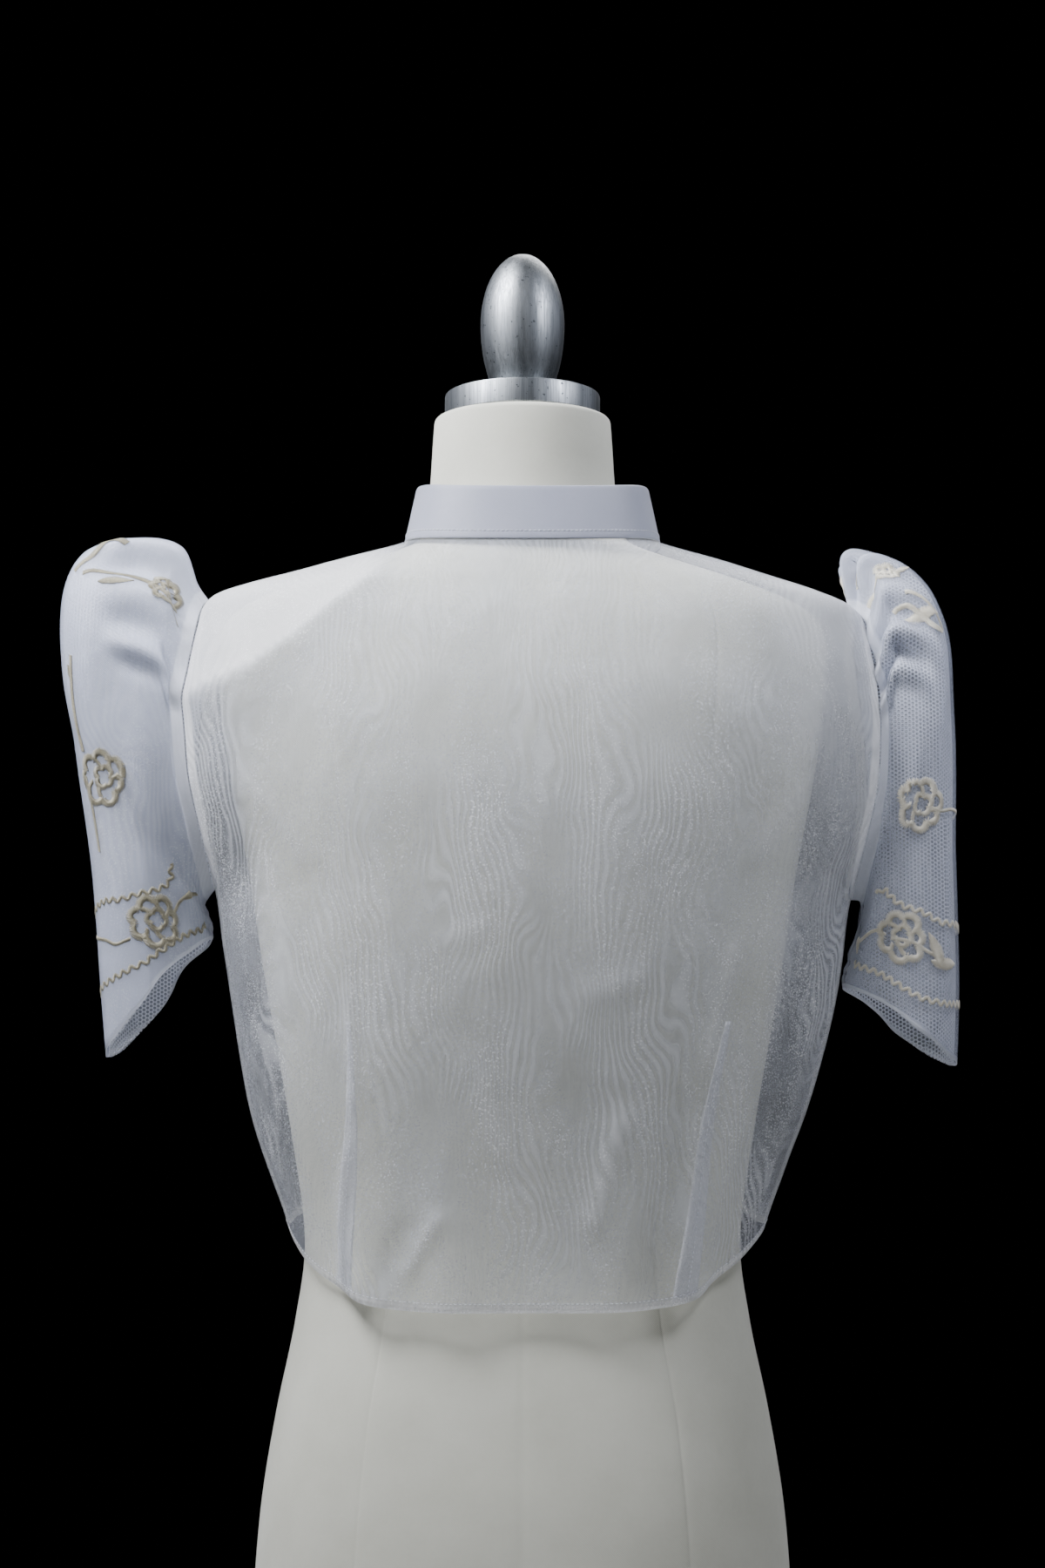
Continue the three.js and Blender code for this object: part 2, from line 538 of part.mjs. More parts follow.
/** Outer grid of a sleeve: rings from the armhole to the hem. */
function sleeveGrid(sleeve) {
  const loop = armholeLoop(sleeve.side);
  const count = loop.length;
  const tip = loop[0];
  const underarm = loop[ARMHOLE_ROWS];
  const first = {
    step: 0,
    foldOut: Math.abs(tip.x),
    foldDrop: NAPE_HEIGHT - tip.z,
    seamOut: Math.abs(underarm.x),
    seamDrop: NAPE_HEIGHT - underarm.z,
    back: ARMHOLE_BACK,
    front: ARMHOLE_FRONT,
    square: 2,
  };
  const table = [first, ...sleeve.sections];
  const read = (step, column) => readTable(table, 'step', step, column);
  const grid = [];
  for (let i = 0; i <= SLEEVE_RINGS; i += 1) {
    const step = ringStep(i);
    const bow = 1 - smooth(step / BOW_FADE);
    const ring = loop.map((edge, j) => {
      const turn = 2 * Math.PI * j / count;
      const power = 2 / (Math.cos(turn) > 0 ? read(step, 'square') : 2);
      const share = (1 + signedPower(Math.cos(turn), power)) / 2;
      const plainShare = (1 + Math.cos(turn)) / 2;
      const out = mix(read(step, 'seamOut'), read(step, 'foldOut'), share);
      const drop = mix(read(step, 'seamDrop'), read(step, 'foldDrop'), share);
      const reach = j <= count / 2 ? -read(step, 'back') : read(step, 'front');
      const depth = reach * Math.abs(Math.sin(turn)) ** power;
      const bowOut = Math.abs(edge.x) - mix(first.seamOut, first.foldOut, plainShare);
      const bowDrop = NAPE_HEIGHT - edge.z - mix(first.seamDrop, first.foldDrop, plainShare);
      const crown = overhangShare(step, turn);
      const bowLeft = mix(1, bow, smooth(share / BOW_KEPT));
      const x = sleeve.side * (out + bowOut * bowLeft - sleeve.overhang * crown);
      return new THREE.Vector3(x, mix(depth, edge.y, bow), NAPE_HEIGHT - drop - bowDrop * bow);
    });
    grid.push(ring);
  }
  grid[0] = loop;
  return pleatedGrid(grid);
}

/** The same grid with pleats where the crown is gathered into the armhole. */
function pleatedGrid(grid) {
  const normals = gridNormals(grid, true);
  const count = grid[0].length;
  return grid.map((ring, i) => ring.map((point, j) => {
    const step = ringStep(i);
    const turn = 360 * Math.min(j, count - j) / count;
    const near = Math.max(0, 1 - Math.abs(step - PLEAT_STEP) / PLEAT_LENGTH);
    const pleated = i > 0 && turn <= PLEAT_REACH;
    const height = pleated ? PLEAT_HEIGHT * near * (j % 2 === 0 ? 1 : -1) : 0;
    return point.clone().addScaledVector(normals[i][j], height * outwardSign(normals));
  }));
}

/** +1 where a sleeve grid's normals point out of the tube, -1 where they point in. */
function outwardSign(normals) {
  return normals[Math.floor(SLEEVE_RINGS / 3)][0].z > 0 ? 1 : -1;
}

/** The organza of a sleeve and the stiff net inside it. */
function makeSleeve(sleeve) {
  const outer = sleeveGrid(sleeve);
  const normals = gridNormals(outer, true);
  const inwards = -outwardSign(normals);
  const layer = (depth) => movedGrid(outer, normals, inwards * depth);
  const netStart = ORGANZA_WALL + NET_GAP;
  return [
    clothWall(`sleeve_${sleeve.name}`, outer, layer(ORGANZA_WALL), true, ORGANZA),
    clothWall(`sleeve_net_${sleeve.name}`, layer(netStart), layer(netStart + NET_WALL), true, NET),
  ];
}

// ---- dress form and stand ---------------------------------------------------------
/** The covered body of the form, one smooth closed solid from neck to hips. */
function makeFormBody() {
  const rings = FORM_SECTIONS.map((section) => section.drop);
  const points = [];
  const triangles = [];
  for (const drop of rings) {
    for (let j = 0; j < FORM_COLUMNS; j += 1) {
      points.push(sectionPoint(FORM_SECTIONS, 2 * Math.PI * (j + 0.5) / FORM_COLUMNS, drop));
    }
  }
  const at = (i, j) => i * FORM_COLUMNS + (j % FORM_COLUMNS);
  for (let i = 0; i < rings.length - 1; i += 1) {
    for (let j = 0; j < FORM_COLUMNS; j += 1) {
      triangles.push([at(i, j), at(i + 1, j), at(i + 1, j + 1)]);
      triangles.push([at(i, j), at(i + 1, j + 1), at(i, j + 1)]);
    }
  }
  const top = points.push(new THREE.Vector3(0, 0, NAPE_HEIGHT - rings[0])) - 1;
  const bottom = points.push(new THREE.Vector3(0, 0, NAPE_HEIGHT - rings[rings.length - 1])) - 1;
  for (let j = 0; j < FORM_COLUMNS; j += 1) {
    triangles.push([top, at(0, j), at(0, j + 1)]);
    triangles.push([bottom, at(rings.length - 1, j + 1), at(rings.length - 1, j)]);
  }
  return solidMesh('form_body', points, triangles, COVER);
}

/** A turned piece from its profile of [radius, height], standing at a height. */
function turned(name, profile, height, finish) {
  const outline = profile.map(([radius, z]) => new THREE.Vector2(radius, z));
  const lathe = new THREE.LatheGeometry(outline, LATHE_SIDES);
  lathe.deleteAttribute('normal');
  lathe.deleteAttribute('uv');
  const geometry = mergeVertices(lathe, 1e-4);
  geometry.rotateX(Math.PI / 2);
  geometry.computeVertexNormals();
  const mesh = namedMesh(name, geometry, finish);
  mesh.position.set(0, 0, height);
  return mesh;
}

/** The brushed metal cap on the neck and the egg-shaped finial on it. */
function makeNeckCap() {
  const neckTop = NAPE_HEIGHT - FORM_SECTIONS[0].drop + SEAM_GAP;
  const cap = turned('neck_cap', [
    [0, 0],
    [CAP_RADIUS - 0.8, 0],
    [CAP_RADIUS, 0.8],
    [CAP_RADIUS, CAP_HEIGHT - 1.5],
    [CAP_RADIUS - 1.5, CAP_HEIGHT],
    [0, CAP_HEIGHT],
  ], neckTop, ALUMINIUM);
  cap.position.y = NECK_FORWARD;
  const profile = [[0, 0]];
  for (let i = 0; i < FINIAL_STEPS; i += 1) {
    const height = FINIAL_HEIGHT * Math.sin(Math.PI / 2 * i / FINIAL_STEPS);
    const above = height > FINIAL_BELLY;
    const reach = above ? FINIAL_HEIGHT - FINIAL_BELLY : FINIAL_TAPER;
    const away = Math.abs(height - FINIAL_BELLY) / reach;
    profile.push([FINIAL_RADIUS * Math.sqrt(1 - away * away), height]);
  }
  profile.push([0, FINIAL_HEIGHT]);
  const finial = turned('finial', profile, neckTop + CAP_HEIGHT + SEAM_GAP, ALUMINIUM);
  finial.position.y = NECK_FORWARD;
  return [cap, finial];
}

/** The pole with its flange under the form, and the round base with its hub. */
function makeStand() {
  const formBottom = NAPE_HEIGHT - FORM_SECTIONS[FORM_SECTIONS.length - 1].drop;
  const poleBottom = HUB_HEIGHT + SEAM_GAP;
  const poleHeight = formBottom - SEAM_GAP - poleBottom;
  const pole = turned('pole', [
    [0, 0],
    [POLE_RADIUS, 0],
    [POLE_RADIUS, poleHeight - FLANGE_HEIGHT - FLANGE_FILLET],
    [POLE_RADIUS + FLANGE_FILLET, poleHeight - FLANGE_HEIGHT],
    [FLANGE_RADIUS, poleHeight - FLANGE_HEIGHT],
    [FLANGE_RADIUS, poleHeight],
    [0, poleHeight],
  ], poleBottom, ALUMINIUM);
  const base = turned('base', [
    [0, 0],
    [BASE_RADIUS - 2, 0],
    [BASE_RADIUS, 2],
    [BASE_RADIUS, BASE_HEIGHT - 6],
    [BASE_RADIUS - 4, BASE_HEIGHT - 2],
    [BASE_RADIUS * 0.5, BASE_HEIGHT + 1],
    [HUB_RADIUS + 8, BASE_HEIGHT + 4],
    [HUB_RADIUS, BASE_HEIGHT + 12],
    [HUB_RADIUS, HUB_HEIGHT - 2],
    [HUB_RADIUS - 2, HUB_HEIGHT],
    [0, HUB_HEIGHT],
  ], 0, PAINTED);
  return [pole, base];
}

const bolero = new THREE.Group();
bolero.add(makePanel('back_panel'), makePanel('front_left'), makePanel('front_right'));
bolero.add(...DARTS.map(makeDart));
bolero.add(makeCollar());
bolero.add(...SLEEVES.flatMap(makeSleeve));
bolero.add(makeFormBody(), ...makeNeckCap(), ...makeStand());

export default bolero;
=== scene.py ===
"""Looks of a sheer organza bolero with butterfly sleeves on a limbless dress form.

Metres, +Z up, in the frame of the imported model: the origin is the middle of the
underside of the base and the wearer's back faces -Y. The shapes are worked out in
millimetres from short tables, as curves round the body: an angle of 0 is the centre
back, 90 degrees is +X and 180 degrees is the centre front, and "drop" is a distance
below the nape.
"""

import logging
import math
from dataclasses import dataclass, field, replace
from enum import Enum
from functools import partial
from typing import Callable, Iterator, Sequence

import bmesh
import bpy
import numpy as np
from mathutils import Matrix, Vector


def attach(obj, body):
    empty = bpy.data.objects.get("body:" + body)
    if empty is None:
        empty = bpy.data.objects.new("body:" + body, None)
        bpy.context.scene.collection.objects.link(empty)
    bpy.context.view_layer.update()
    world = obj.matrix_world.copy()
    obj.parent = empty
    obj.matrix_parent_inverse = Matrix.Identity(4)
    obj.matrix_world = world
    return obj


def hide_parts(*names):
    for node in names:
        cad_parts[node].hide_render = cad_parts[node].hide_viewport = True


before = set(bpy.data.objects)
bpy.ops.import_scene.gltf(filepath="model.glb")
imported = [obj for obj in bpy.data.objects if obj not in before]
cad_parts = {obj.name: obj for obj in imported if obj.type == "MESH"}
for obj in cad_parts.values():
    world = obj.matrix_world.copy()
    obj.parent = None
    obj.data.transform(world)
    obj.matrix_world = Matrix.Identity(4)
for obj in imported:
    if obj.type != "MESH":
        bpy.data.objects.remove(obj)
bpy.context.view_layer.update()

LOG = logging.getLogger("bolero")
MM = 0.001
BODY = "root"

# ---- sizes of the whole, in millimetres ----
NAPE_HEIGHT = 870.0
SEAM_GAP = 0.3
CLOTH_WALL = 0.4  # two plies of organza
COLLAR_WALL = 1.8
COLLAR_HEIGHT = 33.0
COLLAR_LEAN = 7.0
BACK_LENGTH = 452.0
SIDE_LENGTH = 406.0
FRONT_LENGTH = 378.0
NECK_DROP_BACK = 13.0
NECK_DROP_SIDE = 4.0
NECK_DROP_FRONT = 50.0
SHOULDER_TIP_DROP = 41.0
UNDERARM_DROP = 213.0
ARMHOLE_BACK = 50.0
ARMHOLE_FRONT = 44.0
FRONT_GAP_NECK = 2.0
FRONT_GAP_HEM = 15.0
FRONT_CORNER_RISE = 30.0
SIDE_SHIFT = 6.0
SHOULDER_TILT = 3.5
HELD_TO = 250.0
HELD_FADE = 120.0
CLOTH_SHOULDER = 193.0
ARMHOLE_CLEARANCE = 0.6

Array = np.ndarray
Piece = bpy.types.Object
Mesh = bpy.types.Mesh
Material = bpy.types.Material
Node = bpy.types.Node
Socket = bpy.types.NodeSocket
Adder = Callable[..., Node]


# ---- small helpers ----
def mix(a: Array | float, b: Array | float, t: Array | float) -> Array | float:
    """The value a share t of the way from a to b."""
    return a + (b - a) * t


def smooth(t: Array | float) -> Array:
    """A share eased in and out, held between 0 and 1."""
    t = np.clip(t, 0.0, 1.0)
    return t * t * (3.0 - 2.0 * t)


def signed_power(value: Array, power: Array | float) -> Array:
    """A power that keeps the sign of the value."""
    return np.sign(value) * np.abs(value) ** power


def unit(vectors: Array) -> Array:
    """Vectors brought to a length of one."""
    length = np.linalg.norm(vectors, axis=-1, keepdims=True)
    return vectors / np.maximum(length, 1e-9)


def linear(hex_colour: str) -> tuple[float, float, float, float]:
    """An sRGB hex colour as linear RGBA.

    Args:
        hex_colour: six hex digits, such as "e6dfcb".

    Returns:
        Red, green, blue and an alpha of 1.
    """
    channels = [int(hex_colour[i : i + 2], 16) / 255 for i in (0, 2, 4)]
    bent = [c / 12.92 if c <= 0.04045 else ((c + 0.055) / 1.055) ** 2.4 for c in channels]
    return (bent[0], bent[1], bent[2], 1.0)


@dataclass(frozen=True)
class Table:
    """A short table of sizes, read as one smooth curve through its rows."""

    columns: tuple[str, ...]
    rows: tuple[tuple[float, ...], ...]

    def read(self, place: Array | float, column: str) -> Array:
        """The value of a column at one place or many of the first column.

        Args:
            place: where to read it.
            column: the column's name.

        Returns:
            The values, held at the table's ends.
        """
        keys = np.array([row[0] for row in self.rows])
        number = self.columns.index(column)
        values = np.array([row[number] for row in self.rows])
        after = np.minimum(np.arange(len(keys)) + 1, len(keys) - 1)
        before = np.maximum(np.arange(len(keys)) - 1, 0)
        slopes = (values[after] - values[before]) / (keys[after] - keys[before])
        held = np.clip(place, keys[0], keys[-1])
        i = np.clip(np.searchsorted(keys, held, side="left") - 1, 0, len(keys) - 2)
        run = keys[i + 1] - keys[i]
        t = (held - keys[i]) / run
        start = t * (1 - t) ** 2 * run * slopes[i]
        end = t * t * (t - 1) * run * slopes[i + 1]
        return mix(values[i], values[i + 1], t * t * (3 - 2 * t)) + start + end


SECTION_COLUMNS = ("drop", "width", "back", "front", "square")
FORM_SECTIONS = Table(
    SECTION_COLUMNS,
    (
        (-75, 53, 47, 55, 2.0), (-60, 54, 48, 55, 2.0), (-30, 56, 50, 54, 2.0),
        (-12, 59, 53, 53, 2.0), (3, 64.5, 57, 53, 2.0), (11, 81, 62, 55, 2.1),
        (19, 105, 67, 57, 2.2), (28, 132, 72, 59, 2.3), (38, 157, 77, 61, 2.4),
        (48, 174, 82, 67, 2.4), (64, 181, 88, 76, 2.4), (100, 180, 98, 92, 2.4),
        (150, 172, 103, 108, 2.4), (200, 162, 102, 120, 2.3), (250, 154, 98, 125, 2.3),
        (300, 145, 91, 114, 2.2), (350, 136, 83, 101, 2.2), (415, 127, 77, 91, 2.2),
        (460, 132, 82, 95, 2.2), (510, 142, 92, 100, 2.3), (560, 150, 101, 102, 2.3),
        (610, 154, 106, 100, 2.3), (650, 155, 107, 97, 2.3),
    ),
)
CLOTH_SECTIONS = Table(
    SECTION_COLUMNS,
    (
        (0, 70, 63, 57, 2.0), (4, 77, 64, 58, 2.0), (10, 95, 67, 60, 2.1), (17, 121, 71, 62, 2.2),
        (26, 150, 77, 65, 2.3), (34, 176, 82, 67, 2.4), (41, CLOTH_SHOULDER, 85, 70, 2.4),
        (60, 202, 93, 79, 2.5), (85, 209, 100, 89, 2.6), (115, 213, 106, 101, 2.6),
        (150, 210, 109, 113, 2.6), (180, 201, 110, 122, 2.5), (213, 188, 110, 130, 2.4),
        (250, 182, 109, 134, 2.4), (280, 176, 107, 132, 2.4), (317, 167, 104, 128, 2.4),
        (345, 159, 101, 123, 2.4), (375, 148, 98, 117, 2.4), (405, 137, 96, 111, 2.4),
        (452, 124, 92, 104, 2.4),
    ),
)

# The largest folds of the cloth: angle, top and bottom drop, spread and height.
FOLDS = (
    (-38, 250, 452, 9, 5), (-54, 230, 452, 8, -4), (-14, 330, 452, 7, 4), (2, 300, 452, 9, -3),
    (22, 320, 452, 8, 3), (42, 250, 452, 9, 5), (58, 220, 452, 8, -4), (88, 230, 350, 14, 5),
    (112, 210, 410, 8, 5), (134, 250, 400, 9, -4), (156, 270, 400, 9, 4), (-110, 220, 410, 9, 4),
    (-131, 240, 400, 8, -4), (-153, 280, 400, 10, 5),
)

# Small creases laid on one by one: from (x, drop) to (x, drop), width and height.
# The first figure of each is +1 on the back and -1 on the fronts.
CREASES = (
    (1, -41, 392, -68, 438, 5.0, 1.8), (1, -62, 396, -84, 446, 6.0, -1.4),
    (1, 12, 32, 20, 56, 2.2, 0.9), (1, 24, 36, 28, 62, 2.4, -0.5), (1, -12, 40, -30, 64, 3.0, 0.5),
    (1, -105, 262, -92, 352, 4.0, 1.5), (1, -96, 352, -104, 446, 3.5, 1.4),
    (1, 116, 236, 98, 330, 4.0, 1.5), (1, 97, 330, 88, 440, 4.0, 1.4),
    (1, 60, 330, 34, 420, 7.0, 1.4), (1, -30, 300, -10, 380, 8.0, 1.0),
    (1, 150, 190, 128, 330, 7.0, 1.8), (1, -150, 185, -134, 300, 7.0, 1.6),
    (1, 158, 150, 120, 210, 6.0, 1.2), (1, -160, 150, -122, 215, 6.0, 1.2),
    (1, -60, 250, -20, 236, 9.0, 0.8), (1, 70, 262, 20, 282, 9.0, 0.9),
    (-1, -60, 300, -90, 372, 7.0, 1.6), (-1, 70, 290, 96, 366, 7.0, 1.6),
    (-1, -120, 170, -70, 235, 8.0, 1.4), (-1, 118, 176, 66, 240, 8.0, 1.4),
    (-1, -30, 90, -60, 150, 8.0, 0.8), (-1, 34, 96, 64, 156, 8.0, 0.8),
)

# The soft break across the wearer's left shoulder blade, as (x, drop).
SHOULDER_BREAK = ((-196, 106), (-159, 91), (-135, 74), (-117, 57), (-101, 44), (-77, 24))
BREAK_HEIGHT = 4.2
BREAK_SPREAD = 10.0


def from_segment(x: Array, drop: Array, ends: Sequence[float]) -> tuple[Array, Array]:
    """How far places of the cloth lie from a straight line on it.

    Args:
        x: places across.
        drop: places down.
        ends: the line's x, drop, x, drop.

    Returns:
        The distance to the line, and the share along it held between 0 and 1.
    """
    x0, d0, x1, d1 = ends
    run = (x1 - x0) ** 2 + (d1 - d0) ** 2
    along = np.clip(((x - x0) * (x1 - x0) + (drop - d0) * (d1 - d0)) / run, 0, 1)
    away = np.hypot(x - mix(x0, x1, along), drop - mix(d0, d1, along))
    return away, along


class BodyCloth:
    """The body of the bolero as a surface over angle and drop."""

    @staticmethod
    def section(table: Table, angle: Array, drop: Array) -> Array:
        """A point of a section, a squared ellipse with its own reach to back and front.

        Args:
            table: the sections.
            angle: angles round the body.
            drop: distances below the nape.

        Returns:
            Points in millimetres.
        """
        width = table.read(drop, "width")
        back = np.cos(angle) > 0
        reach = np.where(back, table.read(drop, "back"), table.read(drop, "front"))
        power = 2 / table.read(drop, "square")
        x = width * signed_power(np.sin(angle), power)
        y = -reach * signed_power(np.cos(angle), power)
        return np.stack([x, y, NAPE_HEIGHT - drop + 0 * angle], axis=-1)

    @classmethod
    def lift(cls, angle: Array, drop: Array, x: Array) -> Array:
        """How far folds, creases and the shoulder break lift the cloth.

        Args:
            angle: angles round the body.
            drop: distances below the nape.
            x: places across, in millimetres.

        Returns:
            The height, in millimetres.
        """
        total = np.zeros(np.broadcast(angle, drop).shape)
        degrees = np.degrees(angle)
        for at, top, bottom, spread, height in FOLDS:
            grown = smooth((drop - top) / (bottom - top))
            total = total + height * grown * np.exp(-(((degrees - at) / spread) ** 2))
        for height, shape in cls.creases(angle, drop, x):
            total = total + height * shape
        return total + BREAK_HEIGHT * cls.shoulder_break(angle, drop, x)

    @staticmethod
    def creases(angle: Array, drop: Array, x: Array) -> Iterator[tuple[float, Array]]:
        """Each small crease's height and where it lies, 1 along its middle.

        Args:
            angle: angles round the body.
            drop: distances below the nape.
            x: places across, in millimetres.

        Returns:
            Pairs of a height and the crease's shape.
        """
        for side, x0, d0, x1, d1, width, height in CREASES:
            away, along = from_segment(x, drop, (x0, d0, x1, d1))
            held = smooth(along * 4) * smooth((1 - along) * 4)
            shown = smooth(side * np.cos(angle) * 4)
            yield height, held * shown * np.exp(-((away / width) ** 2))

    @classmethod
    def crests(cls, angle: Array, drop: Array, x: Array) -> Array:
        """1 on the crests of the small creases, where a painted highlight lightens the cloth.

        Args:
            angle: angles round the body.
            drop: distances below the nape.
            x: places across, in millimetres.

        Returns:
            The shape, from 0 to 1.
        """
        total = np.zeros(np.broadcast(angle, drop).shape)
        for height, shape in cls.creases(angle, drop, x):
            total = np.maximum(total, shape**2 * (height > 0.7))
        return total

    @staticmethod
    def shoulder_break(angle: Array, drop: Array, x: Array) -> Array:
        """The break over the left shoulder blade, 1 on its crest.

        Args:
            angle: angles round the body.
            drop: distances below the nape.
            x: places across, in millimetres.

        Returns:
            The shape, from 0 to 1.
        """
        away = np.full(np.broadcast(angle, drop).shape, 1e3)
        for start, end in zip(SHOULDER_BREAK[:-1], SHOULDER_BREAK[1:]):
            away = np.minimum(away, from_segment(x, drop, (*start, *end))[0])
        shown = smooth(np.cos(angle) * 5) * smooth((drop - 20) / 20)
        return np.exp(-away / BREAK_SPREAD) * shown

    @classmethod
    def point(cls, angle: Array, drop: Array) -> Array:
        """The outer face of the cloth, in millimetres.

        Args:
            angle: angles round the body.
            drop: distances below the nape.

        Returns:
            The points.
        """
        place = cls.section(CLOTH_SECTIONS, angle, drop)
        lift = cls.lift(angle, drop, place[..., 0])
        place[..., 0] += lift * np.sin(angle)
        place[..., 1] -= lift * np.cos(angle)
        hold = 1 - smooth((drop - HELD_TO) / HELD_FADE)
        place[..., 2] -= SHOULDER_TILT * (place[..., 0] / CLOTH_SHOULDER) ** 3 * hold
        place[..., 0] += SIDE_SHIFT * hold
        return place

    @classmethod
    def normal(cls, angle: Array, drop: Array) -> Array:
        """The outward normal of that face.

        Args:
            angle: angles round the body.
            drop: distances below the nape.

        Returns:
            The normals, of length one.
        """
        turn, step = 0.002, 0.4
        across = cls.point(angle + turn, drop) - cls.point(angle - turn, drop)
        down = cls.point(angle, drop + step) - cls.point(angle, drop - step)
        return unit(np.cross(down, across))

    @staticmethod
    def neck_drop(angle: Array) -> Array:
        """Drop of the neck seam at an angle.

        Args:
            angle: angles round the body.

        Returns:
            The drops.
        """
        turn = np.abs(angle) / math.pi
        back = mix(NECK_DROP_SIDE, NECK_DROP_BACK, np.cos(angle) ** 2)
        front = mix(NECK_DROP_SIDE, NECK_DROP_FRONT, np.clip(turn * 2 - 1, 0, 1) ** 4)
        return np.where(turn <= 0.5, back, front)

    @staticmethod
    def hem_drop(angle: Array) -> Array:
        """Drop of the hem at an angle, with rounded corners at the centre front.

        Args:
            angle: angles round the body.

        Returns:
            The drops.
        """
        turn = np.abs(angle) / math.pi
        curved = smooth(np.clip(np.cos(angle), 0, 1) ** 0.8)
        back = mix(SIDE_LENGTH, BACK_LENGTH, curved)
        front = mix(SIDE_LENGTH, FRONT_LENGTH, smooth(turn * 2 - 1))
        corner = FRONT_CORNER_RISE * smooth((turn * 2 - 1 - 0.72) / 0.28) ** 2
        return np.where(turn <= 0.5, back, front - corner)

    @classmethod
    def row_drop(cls, angle: Array, share: Array) -> Array:
        """Drop of a row of the cloth, a share of the way from neck seam to hem."""
        return mix(cls.neck_drop(angle), cls.hem_drop(angle), share)


def share_of(drop: float) -> float:
    """A drop on the side seam line as a share of the cloth's length there."""
    return (drop - NECK_DROP_SIDE) / (SIDE_LENGTH - NECK_DROP_SIDE)


TIP_SHARE = share_of(SHOULDER_TIP_DROP)
UNDERARM_SHARE = share_of(UNDERARM_DROP)


def armhole_depth(share: Array) -> Array:
    """How deep the armhole bites into a row, from 0 at its ends to 1 half way."""
    within = np.clip((share - TIP_SHARE) / (UNDERARM_SHARE - TIP_SHARE), 0, 1)
    return np.sqrt(np.clip(1 - (1 - 2 * within) ** 2, 0, 1))


class Half(Enum):
    """A half of the body, named as its column of the tables."""

    BACK = "back"
    FRONT = "front"


def side_edge(share: Array, depth: Array, half: Half, armhole_reach: float) -> Array:
    """The angle on a row at which the cloth's edge stands off the side seam line.

    Args:
        share: where the row lies between neck seam and hem.
        depth: the armhole's depth there.
        half: the half of the body that the cloth lies on.
        armhole_reach: how far the armhole reaches on that side, in millimetres.

    Returns:
        The angle in radians, from 0 to pi.
    """
    stand = np.maximum(depth * armhole_reach, SEAM_GAP / 2)
    direction = 1 if half is Half.BACK else -1
    angle = np.full(np.shape(share), math.pi / 2)
    for _ in range(5):
        drop = BodyCloth.row_drop(angle, share)
        reach = CLOTH_SECTIONS.read(drop, half.value)
        square = CLOTH_SECTIONS.read(drop, "square")
        angle = np.arccos(direction * (stand / reach) ** (square / 2))
    return angle


def out_angle(share: Array, out: Array, start: float) -> Array:
    """The angle on a row of a place that is this far from the middle of the body.

    Args:
        share: where the row lies between neck seam and hem.
        out: the distance from the middle, in millimetres.
        start: a first guess, which also says whether it is on the back or a front.

    Returns:
        The angle in radians, from 0 to pi.
    """
    angle = np.full(np.shape(share), start)
    for _ in range(5):
        drop = BodyCloth.row_drop(angle, share)
        width = CLOTH_SECTIONS.read(drop, "width")
        square = CLOTH_SECTIONS.read(drop, "square")
        near = np.arcsin((out / width) ** (square / 2))
        angle = near if start < math.pi / 2 else math.pi - near
    return angle


# ---- meshes ----
def finish_mesh(
    name: str,
    points: Array,
    faces: Array | Sequence[Sequence[int]],
    material: Material,
    attributes: dict[str, Array] | None = None,
) -> Piece:
    """A smooth shaded object from points in millimetres.

    Args:
        name: the piece's name.
        points: its points, in millimetres.
        faces: point numbers of each face.
        material: its material.
        attributes: numbers kept at each point, by name.

    Returns:
        The object, linked to the scene, with its place in its mesh.
    """
    mesh = bpy.data.meshes.new(name)
    corners = faces.tolist() if isinstance(faces, np.ndarray) else faces
    mesh.from_pydata((points * MM).tolist(), [], corners)
    for key, values in (attributes or {}).items():
        layer = mesh.attributes.new(key, "FLOAT", "POINT")
        layer.data.foreach_set("value", np.asarray(values, dtype=np.float32).ravel())
    mesh.materials.append(material)
    mesh.shade_smooth()
    add_box_uv(mesh)
    piece = bpy.data.objects.new(name, mesh)
    bpy.context.scene.collection.objects.link(piece)
    return piece


def add_box_uv(mesh: Mesh) -> None:
    """Gives a mesh a UV map in metres, each face seen along its nearest axis.

    Args:
        mesh: the mesh.
    """
    layer = mesh.uv_layers.new(name="weave")
    places = np.empty(len(mesh.vertices) * 3)
    mesh.vertices.foreach_get("co", places)
    places = places.reshape(-1, 3)
    corners = np.empty(len(mesh.loops), dtype=np.int64)
    mesh.loops.foreach_get("vertex_index", corners)
    normals = np.empty(len(mesh.polygons) * 3)
    mesh.polygons.foreach_get("normal", normals)
    sizes = np.empty(len(mesh.polygons), dtype=np.int64)
    mesh.polygons.foreach_get("loop_total", sizes)
    axis = np.repeat(np.argmax(np.abs(normals.reshape(-1, 3)), axis=1), sizes)
    at = places[corners]
    u = np.where(axis == 0, at[:, 1], at[:, 0])
    v = np.where(axis == 2, at[:, 1], at[:, 2])
    layer.data.foreach_set("uv", np.stack([u, v], axis=1).ravel())


def grid_faces(rows: int, columns: int, closed: bool) -> Array:
    """Faces of a grid of points; "closed" joins its last column to its first.

    Args:
        rows: its rows.
        columns: its columns.
        closed: whether it closes round on itself.

    Returns:
        Four point numbers for each face.
    """
    spans = columns if closed else columns - 1
    i, j = np.meshgrid(np.arange(rows - 1), np.arange(spans), indexing="ij")
    k = (j + 1) % columns
    corners = [i * columns + j, (i + 1) * columns + j, (i + 1) * columns + k, i * columns + k]
    return np.stack(corners, axis=-1).reshape(-1, 4)


def end_faces(rows: int, columns: int) -> list[list[int]]:
    """The two faces that close the first and the last ring of a grid."""
    return [list(range(columns)), list(range((rows - 1) * columns, rows * columns))]


